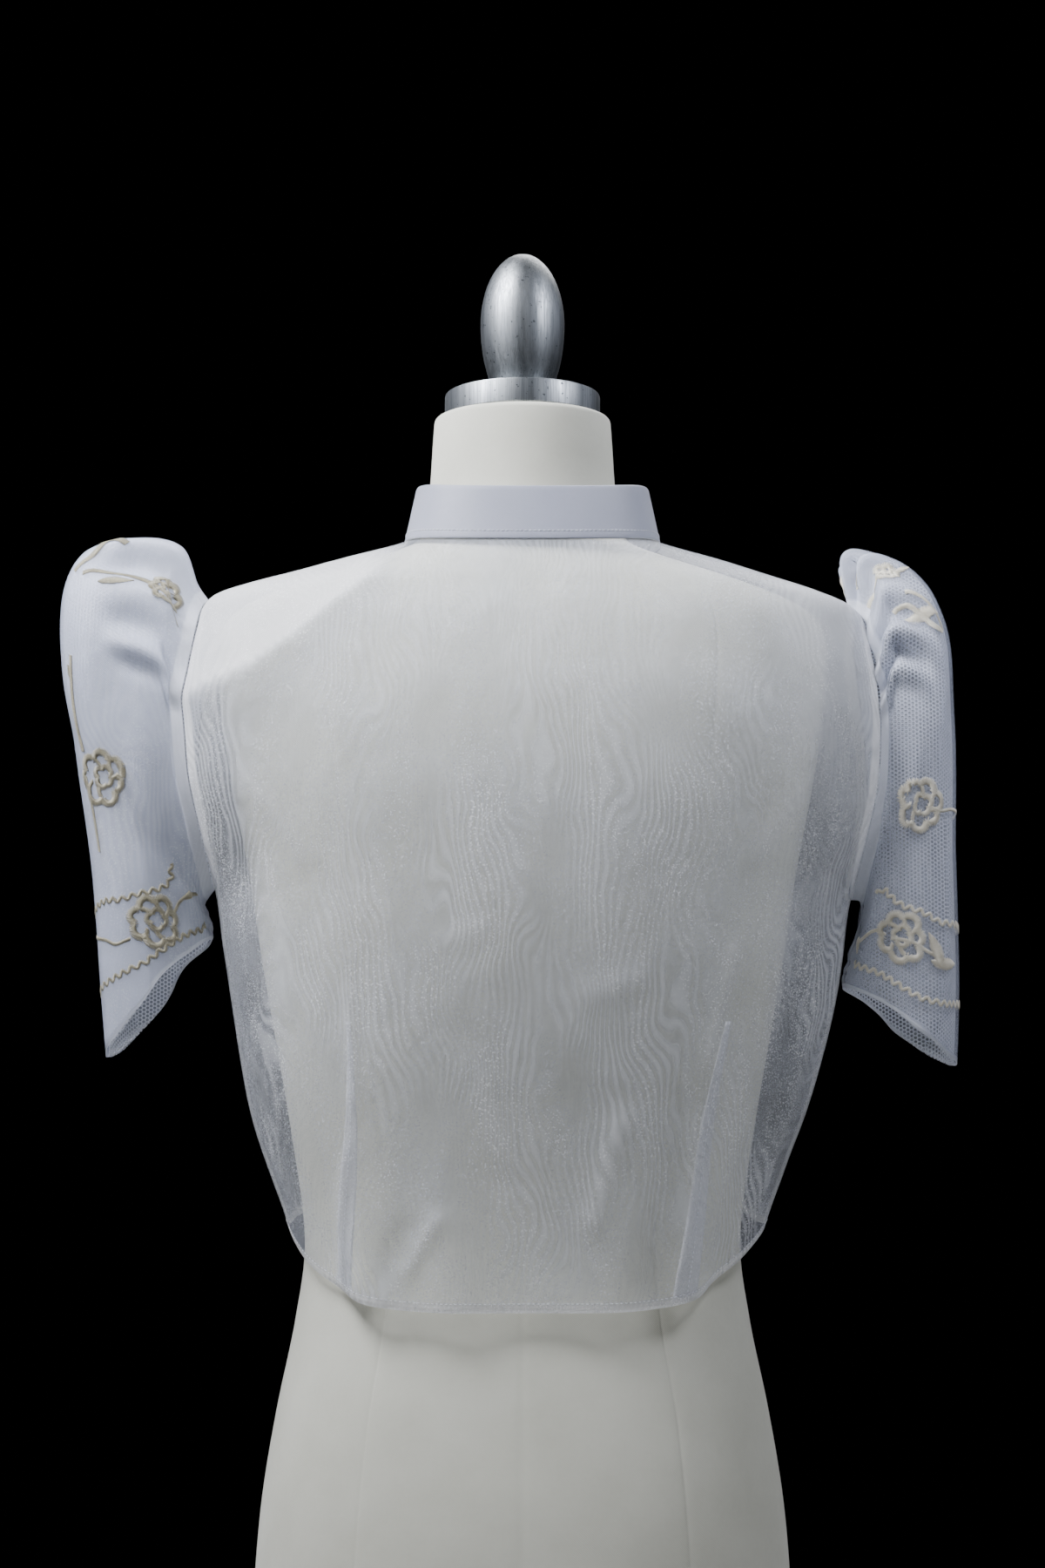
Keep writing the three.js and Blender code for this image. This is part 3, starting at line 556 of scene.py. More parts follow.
def wall_faces(rows: int, columns: int, closed: bool) -> Array:
    """Faces of a closed wall between an outer grid and the inner grid after it.

    Args:
        rows: its rows.
        columns: its columns.
        closed: whether it closes round on itself.

    Returns:
        Four point numbers for each face.
    """
    outer = grid_faces(rows, columns, closed)
    count = rows * columns
    faces = [outer, outer[:, ::-1] + count]
    spans = np.arange(columns if closed else columns - 1)
    nxt = (spans + 1) % columns
    last = (rows - 1) * columns
    faces.append(np.stack([spans, nxt, nxt + count, spans + count], axis=1))
    spans, nxt = last + spans, last + nxt
    faces.append(np.stack([nxt, spans, spans + count, nxt + count], axis=1))
    if not closed:
        down = np.arange(rows - 1) * columns
        edge = down + columns - 1
        faces.append(np.stack([down + columns, down, down + count, down + columns + count], axis=1))
        faces.append(
            np.stack([edge, edge + columns, edge + columns + count, edge + count], axis=1)
        )
    return np.concatenate(faces)


def outward(points: Array, faces: Array) -> Array:
    """The faces, turned so that a closed mesh has its outside outside.

    Args:
        points: the mesh's points.
        faces: its faces, of four points each.

    Returns:
        The faces.
    """
    a, b, c, d = (points[faces[:, k]] for k in range(4))
    volume = np.sum(a * np.cross(b, c)) + np.sum(a * np.cross(c, d))
    return faces if volume > 0 else faces[:, ::-1]


def cloth_piece(
    name: str,
    outer: Array,
    normals: Array,
    wall: float,
    closed: bool,
    material: Material,
    plies: Array,
) -> Piece:
    """A thin closed wall of cloth under an outer grid.

    Args:
        name: the piece's name.
        outer: the grid of its outer face, in millimetres.
        normals: the outward normals of that grid.
        wall: its thickness, in millimetres.
        closed: whether the grid closes round on itself.
        material: its material.
        plies: how much more cloth lies doubled at each point, from 0 to 1; on the bodice it also holds
            painted highlights.

    Returns:
        The object.
    """
    rows, columns = outer.shape[:2]
    points = np.concatenate([outer.reshape(-1, 3), (outer - normals * wall).reshape(-1, 3)])
    faces = outward(points, wall_faces(rows, columns, closed))
    doubled = np.concatenate([plies.ravel(), plies.ravel()])
    return finish_mesh(name, points, faces, material, {"plies": doubled})


def hand_over(piece: Piece, slot: str, *nodes: str) -> None:
    """Puts a finished piece on the body, in place of its nodes.

    Args:
        piece: the piece.
        slot: not used.
        nodes: the CAD nodes it stands for.
    """
    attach(piece, BODY)
    if nodes:
        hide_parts(*nodes)
    LOG.info("%s: %d faces", piece.name, len(piece.data.polygons))


# ---- nodes ----
MATH, MAP, MIX = "ShaderNodeMath", "ShaderNodeMapRange", "ShaderNodeMix"
NOISE, BUMP, STRETCH = "ShaderNodeTexNoise", "ShaderNodeBump", "ShaderNodeMapping"
SPLIT, JOIN = "ShaderNodeSeparateXYZ", "ShaderNodeCombineXYZ"
COORDINATES, NAMED = "ShaderNodeTexCoord", "GeometryNodeInputNamedAttribute"
TIMES, PLUS = {"operation": "MULTIPLY"}, {"operation": "ADD"}
TIMES_PLUS = {"operation": "MULTIPLY_ADD"}
COLOURS = {"data_type": "RGBA"}
VECTORS = {"data_type": "FLOAT_VECTOR"}
SOFT = {"Roughness": 0.55}  # how much of a noise is in its finest blobs


def add_node(
    tree: bpy.types.NodeTree,
    kind: str,
    inputs: Sequence[object] | dict[int | str, object] = (),
    **settings: object,
) -> Node:
    """Adds a node to a tree with its settings and its links.

    Args:
        tree: a material's or a geometry node tree.
        kind: the node's type.
        inputs: a value, a socket or a node for each input, in order or by name.
        settings: properties to set on it.

    Returns:
        The node.
    """
    node = tree.nodes.new(kind)
    for key, value in settings.items():
        setattr(node, key, value)
    for key, value in inputs.items() if isinstance(inputs, dict) else enumerate(inputs):
        if isinstance(value, Node):
            value = value.outputs[0]
        if isinstance(value, Socket):
            tree.links.new(value, node.inputs[key])
        else:
            node.inputs[key].default_value = value
    return node


def per_mm(size: float) -> float:
    """The scale at which a pattern repeats after a size in millimetres."""
    return 1 / (size * MM)


def weave_height(add: Adder, pitch_mm: float) -> Node:
    """A plain weave of threads of one pitch, as a height from 0 to 1.

    Args:
        add: adds a node to the tree.
        pitch_mm: the distance from thread to thread.

    Returns:
        The node that gives the height.
    """
    split = add(SPLIT, (add("ShaderNodeUVMap", uv_map="weave"),))
    threads = []
    for run in split.outputs[:2]:
        turn = add(MATH, (run, 2 * math.pi * per_mm(pitch_mm)), **TIMES)
        threads.append(add(MATH, (turn,), operation="SINE"))
    return add(MATH, (add(MATH, threads, **TIMES), 0.5, 0.5), **TIMES_PLUS)


# ---- materials ----
@dataclass(frozen=True)
class Surface:
    """What every finish has: a name, and the inputs of one Principled shader."""

    name: str

    def inputs(self, add: Adder, coords: Socket) -> dict[str, object]:
        """The shader's inputs, by nodes where they vary over the piece.

        Args:
            add: adds a node to the tree.
            coords: Object coordinates, in metres.

        Returns:
            A value, a socket or a node for each input that isn't left as it comes.
        """
        raise NotImplementedError

    def build(self) -> Material:
        """Builds the material.

        Returns:
            The material.
        """
        material = bpy.data.materials.new(self.name)
        material.use_nodes = True
        material.node_tree.nodes.clear()
        add = partial(add_node, material.node_tree)
        shader = add("ShaderNodeBsdfPrincipled", self.inputs(add, add(COORDINATES).outputs["Object"]))
        add("ShaderNodeOutputMaterial", (shader,))
        return material


@dataclass(frozen=True)
class Organza(Surface):
    """Silk-like organza, crisp and sheer, worn as two plies.

    The two plies' threads drift in and out of step, which gives the wood-grain
    bands, and the glitter of the flat filaments is painted glint, specks of lighter
    colour where the cloth would catch the light. The weave is drawn coarser than its
    real pitch of 0.2 mm, because that is too fine to show.
    """

    name: str = "organza_two_ply"
    tint: str = "e9edf6"
    band_tint: str = "ffffff"
    opacity: float = 0.16
    doubled_opacity: float = 0.50
    unevenness: float = 0.05
    band_mm: float = 4.4
    drift_mm: float = 60.0
    swirl_mm: float = 15.0
    drift_turn: float = 120.0
    swirl_turn: float = 9.0
    band_depth: float = 0.22
    glint_mm: float = 1.0
    glint_depth: float = 0.46
    weave_mm: float = 1.1
    crumple_mm: float = 5.0
    crease_mm: float = 34.0
    crease_depth: float = 6.0
    fine_share: float = 0.045
    quiet_above: float = 0.84
    lively_below: float = 0.70

    def bands(self, add: Adder, coords: Socket, lively: Node) -> Node:
        """The wood-grain bands, in patches.

        Args:
            add: adds a node to the tree.
            coords: Object coordinates.
            lively: how far the plies slip past each other, from 0 to 1.

        Returns:
            The node that gives them, from 0 to 1.
        """
        tall = add(STRETCH, {"Vector": coords, "Scale": (1, 1, 0.5)})
        drift = add(NOISE, {"Vector": tall, "Scale": per_mm(self.drift_mm), "Detail": 1.5, **SOFT})
        swirl = add(NOISE, {"Vector": tall, "Scale": per_mm(self.swirl_mm), "Detail": 1.0, **SOFT})
        patch = add(NOISE, {"Vector": tall, "Scale": per_mm(55.0), "Detail": 1.0, **SOFT})
        turn = add(MATH, (add(SPLIT, (coords,)), 2 * math.pi * per_mm(self.band_mm)), **TIMES)
        turn = add(MATH, (drift, self.drift_turn, turn), **TIMES_PLUS)
        turn = add(MATH, (swirl, self.swirl_turn, turn), **TIMES_PLUS)
        wave = add(MATH, (add(MATH, (turn,), operation="SINE"), 0.5, 0.5), **TIMES_PLUS)
        where = add(MATH, (add(MAP, (patch, 0.42, 0.60, 0.12, 1.0)), lively), **TIMES)
        return add(MATH, (wave, where), **TIMES)

    def painted_glints(self, add: Adder, coords: Socket, lively: Node) -> Node:
        """Painted glints: specks of lighter colour on the filaments, thickest in streaks down the
        cloth.

        Args:
            add: adds a node to the tree.
            coords: Object coordinates.
            lively: how far the plies slip past each other, from 0 to 1.

        Returns:
            The node that gives them, from 0 to 1.
        """
        tall = add(STRETCH, {"Vector": coords, "Scale": (1, 1, 0.3)})
        spark = add(NOISE, {"Vector": coords, "Scale": per_mm(self.glint_mm), "Detail": 0.0, **SOFT})
        streak = add(NOISE, {"Vector": tall, "Scale": per_mm(24.0), **SOFT})
        where = add(MATH, (add(MAP, (streak, 0.42, 0.62, 0.1, 1.0)), lively), **TIMES)
        return add(MATH, (add(MAP, (spark, 0.62, 0.72, 0.0, 1.0)), where), **TIMES)

    def relief(self, add: Adder, coords: Socket) -> Node:
        """The soft creases, with the crumple and the weave on them.

        Args:
            add: adds a node to the tree.
            coords: Object coordinates.

        Returns:
            The node that gives the normal.
        """
        tall = add(STRETCH, {"Vector": coords, "Scale": (1, 1, 0.6)})
        creases = add(NOISE, {"Vector": tall, "Scale": per_mm(self.crease_mm), **SOFT})
        crumple = add(NOISE, {"Vector": coords, "Scale": per_mm(self.crumple_mm), **SOFT})
        fine = add(MATH, (crumple, 1.4, weave_height(add, self.weave_mm)), **TIMES_PLUS)
        height = add(MATH, (fine, self.fine_share, creases), **TIMES_PLUS)
        return add(BUMP, {"Strength": 0.5, "Distance": self.crease_depth * MM, "Height": height})

    def inputs(self, add: Adder, coords: Socket) -> dict[str, object]:
        """The shader's inputs; bands, painted glints, doubled cloth and the bodice's painted highlights
        make it less sheer and lighter.

        Args:
            add: adds a node to the tree.
            coords: Object coordinates, in metres.

        Returns:
            The inputs, by name.
        """
        height = add(SPLIT, (coords,)).outputs[2]
        lively = add(MAP, (height, self.lively_below, self.quiet_above, 1.0, 0.3))
        bands, painted_glint = self.bands(add, coords, lively), self.painted_glints(add, coords, lively)
        plies = add("ShaderNodeAttribute", attribute_name="plies").outputs["Fac"]
        cloudy = add(NOISE, {"Vector": coords, "Scale": per_mm(46.0), "Detail": 3.0, **SOFT})
        thin, thick = self.opacity - self.unevenness, self.opacity + self.unevenness
        alpha = add(MAP, (cloudy, 0.3, 0.7, thin, thick))
        alpha = add(MATH, (bands, self.band_depth, alpha), **TIMES_PLUS)
        alpha = add(MATH, (painted_glint, self.glint_depth, alpha), **TIMES_PLUS)
        alpha = add(MATH, (plies, self.doubled_opacity - self.opacity, alpha), **TIMES_PLUS)
        # Painted light: the painted glints, and the painted highlights that the bodice keeps in the
        # plies attribute, lighten the colour towards white.
        light = add(MATH, (plies, 0.9, add(MATH, (bands, 0.5), **TIMES)), **TIMES_PLUS)
        light = add(MATH, (light, painted_glint), **PLUS)
        colour = add(MIX, {0: light, 6: linear(self.tint), 7: linear(self.band_tint)}, **COLOURS)
        return {
            "Base Color": colour.outputs[2],
            "Alpha": alpha,
            "Roughness": add(MAP, (painted_glint, 0.0, 1.0, 0.48, 0.2)),
            "Normal": self.relief(add, coords),
            "Sheen Weight": 0.35,
            "Sheen Roughness": 0.35,
            "Sheen Tint": linear("e6ecff"),
            "Specular IOR Level": 0.6,
        }


@dataclass(frozen=True)
class HoneycombNet(Surface):
    """Stiff knitted net: round cells in rows that stand between each other."""

    name: str = "honeycomb_net"
    tint: str = "e2e7f4"
    light: str = "f2f4fb"
    cell_mm: float = 2.4
    thread: float = 0.80
    hole: float = 0.06

    def inputs(self, add: Adder, coords: Socket) -> dict[str, object]:
        """The shader's inputs; three waves across each other part threads from cells.

        Args:
            add: adds a node to the tree.
            coords: Object coordinates, in metres.

        Returns:
            The inputs, by name.
        """
        weave = add("ShaderNodeUVMap", uv_map="weave")
        turns = 4 * math.pi / math.sqrt(3) * per_mm(self.cell_mm)
        total: object = 0.0
        for turn in np.radians((0, 120, 240)):
            direction = (math.cos(turn) * turns, math.sin(turn) * turns, 0.0)
            run = add("ShaderNodeVectorMath", (weave, direction), operation="DOT_PRODUCT")
            wave = add(MATH, (run.outputs["Value"],), operation="COSINE")
            total = add(MATH, (total, wave), **PLUS)
        mesh = add(MAP, (total, -0.6, 0.4, 1.0, 0.0))
        cloudy = add(NOISE, {"Vector": coords, "Scale": per_mm(22.0), **SOFT})
        cloudy = add(MAP, (cloudy, 0.3, 0.7, 0.85, 1.0))
        alpha = add(MATH, (mesh, self.thread, self.hole), **TIMES_PLUS)
        shade = add(NOISE, {"Vector": coords, "Scale": per_mm(6.0), **SOFT})
        colour = add(MIX, {0: shade, 6: linear(self.tint), 7: linear(self.light)}, **COLOURS)
        return {
            "Base Color": colour.outputs[2],
            "Alpha": add(MATH, (alpha, cloudy), **TIMES),
            "Normal": add(BUMP, {"Strength": 0.4, "Distance": 0.3 * MM, "Height": mesh}),
            "Roughness": 0.6,
            "Sheen Weight": 0.2,
        }


@dataclass(frozen=True)
class WovenCloth(Surface):
    """Plain woven cloth, nearly opaque: threads show as a fine even grain."""

    tint: str
    shade: str
    thread_mm: float
    roughness: float
    sheen: float
    slub_mm: float = 36.0

    def inputs(self, add: Adder, coords: Socket) -> dict[str, object]:
        """The shader's inputs; slubs cloud its colour and threads roughen it.

        Args:
            add: adds a node to the tree.
            coords: Object coordinates, in metres.

        Returns:
            The inputs, by name.
        """
        cloudy = add(NOISE, {"Vector": coords, "Scale": per_mm(self.slub_mm), "Detail": 3.0, **SOFT})
        cloudy = add(MATH, (add(MAP, (cloudy, 0.35, 0.65, 0.0, 1.0)), 0.5), **TIMES)
        grain = per_mm(self.thread_mm * 2.2)
        fine = add(NOISE, {"Vector": coords, "Scale": grain, **SOFT})
        share = add(MATH, (fine, 0.35, cloudy), **TIMES_PLUS)
        colour = add(MIX, {0: share, 6: linear(self.tint), 7: linear(self.shade)}, **COLOURS)
        height = add(MATH, (fine, 0.5, weave_height(add, self.thread_mm)), **TIMES_PLUS)
        return {
            "Base Color": colour.outputs[2],
            "Roughness": add(MAP, (fine, 0.3, 0.7, self.roughness - 0.06, self.roughness + 0.06)),
            "Normal": add(BUMP, {"Strength": 0.35, "Distance": 0.18 * MM, "Height": height}),
            "Sheen Weight": self.sheen,
            "Sheen Roughness": 0.5,
        }


@dataclass(frozen=True)
class SatinThread(Surface):
    """Rayon embroidery thread: smooth filament that shines along each stitch."""

    tint: str
    shade: str
    roughness: float = 0.38

    def inputs(self, add: Adder, coords: Socket) -> dict[str, object]:
        """The shader's inputs; patches of many stitches and single ones differ.

        Args:
            add: adds a node to the tree.
            coords: Object coordinates, in metres.

        Returns:
            The inputs, by name.
        """
        patches = add(NOISE, {"Vector": coords, "Scale": per_mm(9.0), **SOFT})
        patches = add(MATH, (add(MAP, (patches, 0.35, 0.65, 0.0, 1.0)), 0.6), **TIMES)
        fine = add(NOISE, {"Vector": coords, "Scale": per_mm(0.9), "Detail": 1.0, **SOFT})
        fine = add(MAP, (fine, 0.35, 0.65, 0.0, 1.0))
        share = add(MATH, (fine, 0.4, patches), **TIMES_PLUS)
        colour = add(MIX, {0: share, 6: linear(self.tint), 7: linear(self.shade)}, **COLOURS)
        return {
            "Base Color": colour.outputs[2],
            "Roughness": add(MAP, (fine, 0.0, 1.0, self.roughness - 0.08, self.roughness + 0.1)),
            "Sheen Weight": 0.25,
            "Specular IOR Level": 0.55,
        }


@dataclass(frozen=True)
class BrushedAluminium(Surface):
    """Turned aluminium brushed along its height: long fine scratches and a few pits."""

    name: str = "brushed_aluminium"
    tint: str = "a3a7a9"
    shade: str = "6e7275"
    pit: str = "4a4d50"
    scratch_mm: float = 0.9
    streak_mm: float = 5.0
    scratch_length: float = 22.0
    pit_mm: float = 2.2
    smoothest: float = 0.36
    roughest: float = 0.52

    def inputs(self, add: Adder, coords: Socket) -> dict[str, object]:
        """The shader's inputs; scratches streak it and pits darken it.

        Args:
            add: adds a node to the tree.
            coords: Object coordinates, in metres.

        Returns:
            The inputs, by name.
        """
        along = add(STRETCH, {"Vector": coords, "Scale": (1, 1, 1 / self.scratch_length)})
        fine = add(NOISE, {"Vector": along, "Scale": per_mm(self.scratch_mm), "Detail": 3.0, **SOFT})
        wide = add(NOISE, {"Vector": along, "Scale": per_mm(self.streak_mm), **SOFT})
        pits = add(NOISE, {"Vector": coords, "Scale": per_mm(self.pit_mm), "Detail": 1.0, **SOFT})
        pits = add(MAP, (pits, 0.26, 0.31, 1.0, 0.0))
        share = add(MATH, (fine, 0.5, add(MATH, (wide, 0.5), **TIMES)), **TIMES_PLUS)
        share = add(MAP, (share, 0.35, 0.65, 0.0, 1.0))
        colour = add(MIX, {0: share, 6: linear(self.tint), 7: linear(self.shade)}, **COLOURS)
        colour = add(MIX, {0: pits, 6: colour.outputs[2], 7: linear(self.pit)}, **COLOURS)
        height = add(MATH, (fine, add(MATH, (pits, 0.7), **TIMES)), operation="SUBTRACT")
        return {
            "Base Color": colour.outputs[2],
            "Roughness": add(MAP, (fine, 0.3, 0.7, self.smoothest, self.roughest)),
            "Normal": add(BUMP, {"Strength": 0.25, "Distance": 0.12 * MM, "Height": height}),
            "Metallic": 1.0,
        }


@dataclass(frozen=True)
class SatinPaint(Surface):
    """Sprayed satin paint on cast metal: a faint orange peel and soft dust."""

    tint: str
    shade: str
    roughness: float = 0.45
    dust_mm: float = 40.0
    peel_mm: float = 1.4

    def inputs(self, add: Adder, coords: Socket) -> dict[str, object]:
        """The shader's inputs; dust dulls it in clouds.

        Args:
            add: adds a node to the tree.
            coords: Object coordinates, in metres.

        Returns:
            The inputs, by name.
        """
        dust = add(NOISE, {"Vector": coords, "Scale": per_mm(self.dust_mm), "Detail": 4.0, **SOFT})
        dust = add(MAP, (dust, 0.4, 0.7, 0.0, 1.0))
        peel = add(NOISE, {"Vector": coords, "Scale": per_mm(self.peel_mm), **SOFT})
        colour = add(MIX, {0: dust, 6: linear(self.tint), 7: linear(self.shade)}, **COLOURS)
        return {
            "Base Color": colour.outputs[2],
            "Roughness": add(MAP, (dust, 0.0, 1.0, self.roughness - 0.08, self.roughness + 0.1)),
            "Normal": add(BUMP, {"Strength": 0.12, "Distance": 0.2 * MM, "Height": peel}),
        }


STIFF_ORGANZA = Organza(
    name="organza_sleeve",
    tint="dbe1f3",
    band_tint="f3f6ff",
    opacity=0.36,
    band_depth=0.03,
    glint_depth=0.08,
)


class Finish(Enum):
    """The finishes that the object has."""

    # Two plies of organza on the body: sheer and banded, with painted glints.
    ORGANZA = Organza()
    # One ply of stiffer organza over the net: bluish white, with few bands.
    SLEEVE_ORGANZA = STIFF_ORGANZA
    # The same, sheerer, so that the cells of the net show through it.
    LIGHT_SLEEVE_ORGANZA = replace(
        STIFF_ORGANZA, name="organza_sleeve_light", opacity=0.17, doubled_opacity=0.72
    )
    # Organza folded on itself in a dart: hardly sheer, with a pure white tint that is painted
    # highlight, lifting it out of the shade under the back.
    DART_ORGANZA = Organza(name="organza_folded_painted_highlight", tint="ffffff", opacity=0.72, doubled_opacity=0.95)
    # Knitted net: rows of small round holes.
    NET = HoneycombNet()
    # Organza folded and stiffened for the collar: smooth, bluish and nearly opaque.
    COLLAR = WovenCloth("organza_stiffened", "a5a8b6", "9a9dac", 0.9, 0.5, 0.3)
    # Cotton cover of the dress form: matt cream, which shines through the organza.
    COVER = WovenCloth("cover_cotton", "dddccd", "cfcebe", 1.2, 0.85, 0.2)
    # Rayon thread in ivory, and a copy darkened with painted shade for the left sleeve: silky cords of
    # slanting stitches.
    THREAD_LEFT_PAINTED_SHADE = SatinThread("satin_thread_painted_shade", "aea78e", "857e67")
    THREAD_RIGHT = SatinThread("satin_thread_ivory", "f2ecdb", "dcd4bd")
    # White sewing thread: small bright dashes.
    SEWING = SatinThread("sewing_thread_white", "f1f2f5", "dfe2ea")
    # Turned and brushed aluminium: soft highlights drawn out along the height.
    METAL = BrushedAluminium()
    # Dark satin paint on the cast base and the pole.
    PAINT = SatinPaint("satin_paint_dark", "2b2c2e", "3a3b3d")
    # Matt paint on the studio's floor.
    FLOOR = SatinPaint("studio_floor", "bfbfbc", "b8b8b5", 0.7)

    @property
    def material(self) -> Material:
        """The finish's material, built once."""
        return bpy.data.materials.get(self.value.name) or self.value.build()


# ---- geometry node trees ----
class Tool:
    """A geometry node tree: its name, the kinds of its inputs by name, and its output."""

    NAME: str
    KINDS: dict[str, str]
    OUTPUT: str

    def lay(self, add: Adder, given: bpy.types.bpy_prop_collection) -> Node:
        """Adds the nodes between the tree's inputs and its output.

        Args:
            add: adds a node to the tree.
            given: the tree's inputs, by name.

        Returns:
            The node whose geometry is the result.
        """
        raise NotImplementedError

    def tree(self) -> bpy.types.NodeTree:
        """Builds the tree once.

        Returns:
            The tree.
        """
        if self.NAME in bpy.data.node_groups:
            return bpy.data.node_groups[self.NAME]
        tree = bpy.data.node_groups.new(self.NAME, "GeometryNodeTree")
        for key, kind in self.KINDS.items():
            tree.interface.new_socket(key, in_out="INPUT", socket_type=f"NodeSocket{kind}")
        tree.interface.new_socket(self.OUTPUT, in_out="OUTPUT", socket_type="NodeSocketGeometry")
        add = partial(add_node, tree)
        add("NodeGroupOutput", (self.lay(add, add("NodeGroupInput").outputs),))
        return tree

    def grow(self, name: str, seed_mesh: Mesh, values: dict[str, object]) -> Piece:
        """Runs the tree on a mesh and keeps the result as a plain mesh.

        Args:
            name: the piece's name.
            seed_mesh: the points or line that the tree starts from.
            values: its named inputs.

        Returns:
            The finished object, with no modifier.
        """
        tree = self.tree()
        piece = bpy.data.objects.new(name, seed_mesh)
        bpy.context.scene.collection.objects.link(piece)
        modifier = piece.modifiers.new(name, "NODES")
        modifier.node_group = tree
        for item in tree.interface.items_tree:
            if getattr(item, "in_out", "") == "INPUT" and item.name in values:
                modifier[item.identifier] = values[item.name]
        graph = bpy.context.evaluated_depsgraph_get()
        grown = bpy.data.meshes.new_from_object(piece.evaluated_get(graph))
        grown.name = name
        piece.modifiers.remove(modifier)
        piece.data = grown
        bpy.data.meshes.remove(seed_mesh)
        return piece


class StitchLayer(Tool):
    """Geometry nodes that lay a plump thread at each point of a path.

    Each point carries "across", the way its thread runs, "lift", the cloth's normal
    there, and "reach", the thread's length in metres.
    """

    NAME = "lay_stitches"
    KINDS = {
        "Path Points": "Geometry",
        "Thread Width": "Float",
        "Thread Height": "Float",
        "Unevenness": "Float",
        "Seed": "Int",
        "Thread": "Material",
    }
    OUTPUT = "Stitches"

    def lay(self, add: Adder, given: bpy.types.bpy_prop_collection) -> Node:
        """Adds the nodes between the tree's inputs and its output.

        Args:
            add: adds a node to the tree.
            given: the tree's inputs, by name.

        Returns:
            The node whose geometry is the result.
        """
        across = add(NAMED, {"Name": "across"}, **VECTORS)
        lift = add(NAMED, {"Name": "lift"}, **VECTORS)
        reach = add(NAMED, {"Name": "reach"}, data_type="FLOAT")
        turned = add(
            "FunctionNodeAxesToRotation", (across, lift), primary_axis="X", secondary_axis="Z"
        )
        low = add(MATH, (1.0, given["Unevenness"]), operation="SUBTRACT")
        high = add(MATH, (1.0, given["Unevenness"]), **PLUS)
        chance = add(
            "FunctionNodeRandomValue", {2: low, 3: high, "Seed": given["Seed"]}, data_type="FLOAT"
        )
        length = add(MATH, (reach, chance.outputs[1]), **TIMES)
        laid = add(
            "GeometryNodeInstanceOnPoints",
            {
                "Points": given["Path Points"],
                "Instance": add("GeometryNodeMeshIcoSphere", {"Radius": 0.5, "Subdivisions": 1}),
                "Rotation": turned,
                "Scale": add(JOIN, (length, given["Thread Width"], given["Thread Height"])),
            },
        )
        real = add("GeometryNodeRealizeInstances", (laid,))
        soft = add("GeometryNodeSetShadeSmooth", (real,))
        return add("GeometryNodeSetMaterial", {"Geometry": soft, "Material": given["Thread"]})


class Lathe(Tool):
    """Geometry nodes that turn a profile line round the upright axis."""

    NAME = "turn_profile"
    KINDS = {
        "Profile": "Geometry",
        "Profile Points": "Int",
        "Sides": "Int",
        "Forward": "Float",
        "Finish": "Material",
    }
    OUTPUT = "Turned"
    MERGE_WITHIN = 1e-6

    def lay(self, add: Adder, given: bpy.types.bpy_prop_collection) -> Node:
        """Adds the nodes between the tree's inputs and its output.

        Args:
            add: adds a node to the tree.
            given: the tree's inputs, by name.

        Returns:
            The node whose geometry is the result.
        """
        rows, sides = given["Profile Points"], given["Sides"]
        columns = add(MATH, (sides, 1.0), **PLUS)
        grid = add("GeometryNodeMeshGrid", {"Vertices X": columns, "Vertices Y": rows})
        index = add(MATH, (add("GeometryNodeInputIndex"), 0.5), **PLUS)
        place = add(MATH, (index, rows), operation="DIVIDE")
        column = add(MATH, (place,), operation="FLOOR")
        row = add(MATH, (add(MATH, (place,), operation="FRACT"), rows), **TIMES)
        sample = add(
            "GeometryNodeSampleIndex",
            {
                "Geometry": given["Profile"],
                "Value": add("GeometryNodeInputPosition"),
                "Index": add(MATH, (row,), operation="FLOOR"),
            },
            **VECTORS,
        )
        radius, _, height = add(SPLIT, (sample,)).outputs
        turn = add(MATH, (add(MATH, (column, sides), operation="DIVIDE"), 2 * math.pi), **TIMES)
        cosine = add(MATH, (turn,), operation="COSINE")
        sine = add(MATH, (turn,), operation="SINE")
        x = add(MATH, (radius, cosine), **TIMES)
        y = add(MATH, (radius, sine, given["Forward"]), **TIMES_PLUS)
        spot = add(JOIN, (x, y, height))
        moved = add("GeometryNodeSetPosition", {"Geometry": grid, "Position": spot})
        merged = add(
            "GeometryNodeMergeByDistance", {"Geometry": moved, "Distance": self.MERGE_WITHIN}
        )
        real = add("GeometryNodeRealizeInstances", (merged,))
        return add("GeometryNodeSetMaterial", {"Geometry": real, "Material": given["Finish"]})


def face_outward(mesh: Mesh, merge_within: float = 0.0) -> None:
    """Turns a closed mesh's faces outwards.

    Args:
        mesh: the mesh.
        merge_within: points this near each other are merged first.
    """
    shape = bmesh.new()
    shape.from_mesh(mesh)
    if merge_within:
        bmesh.ops.remove_doubles(shape, verts=shape.verts, dist=merge_within)
    bmesh.ops.recalc_face_normals(shape, faces=shape.faces)
    shape.to_mesh(mesh)
    shape.free()


def turn_piece(
    name: str, profile: Sequence[tuple[float, float]], forward: float, finish: Finish
) -> Piece:
    """A turned piece from its profile of radius and height, in millimetres.

    Args:
        name: the piece's name.
        profile: points from the axis below to the axis above.
        forward: how far the axis stands to the front, in millimetres.
        finish: its finish.

    Returns:
        The object.
    """
    line = bpy.data.meshes.new(name)
    line.from_pydata([(r * MM, 0.0, z * MM) for r, z in profile], [], [])
    values = {
        "Profile Points": len(profile),
        "Sides": 128,
        "Forward": forward * MM,
        "Finish": finish.material,
    }
    piece = Lathe().grow(name, line, values)
    face_outward(piece.data, Lathe.MERGE_WITHIN)
    piece.data.shade_smooth()
    piece.data.set_sharp_from_angle(angle=math.radians(40))
    add_box_uv(piece.data)
    return piece


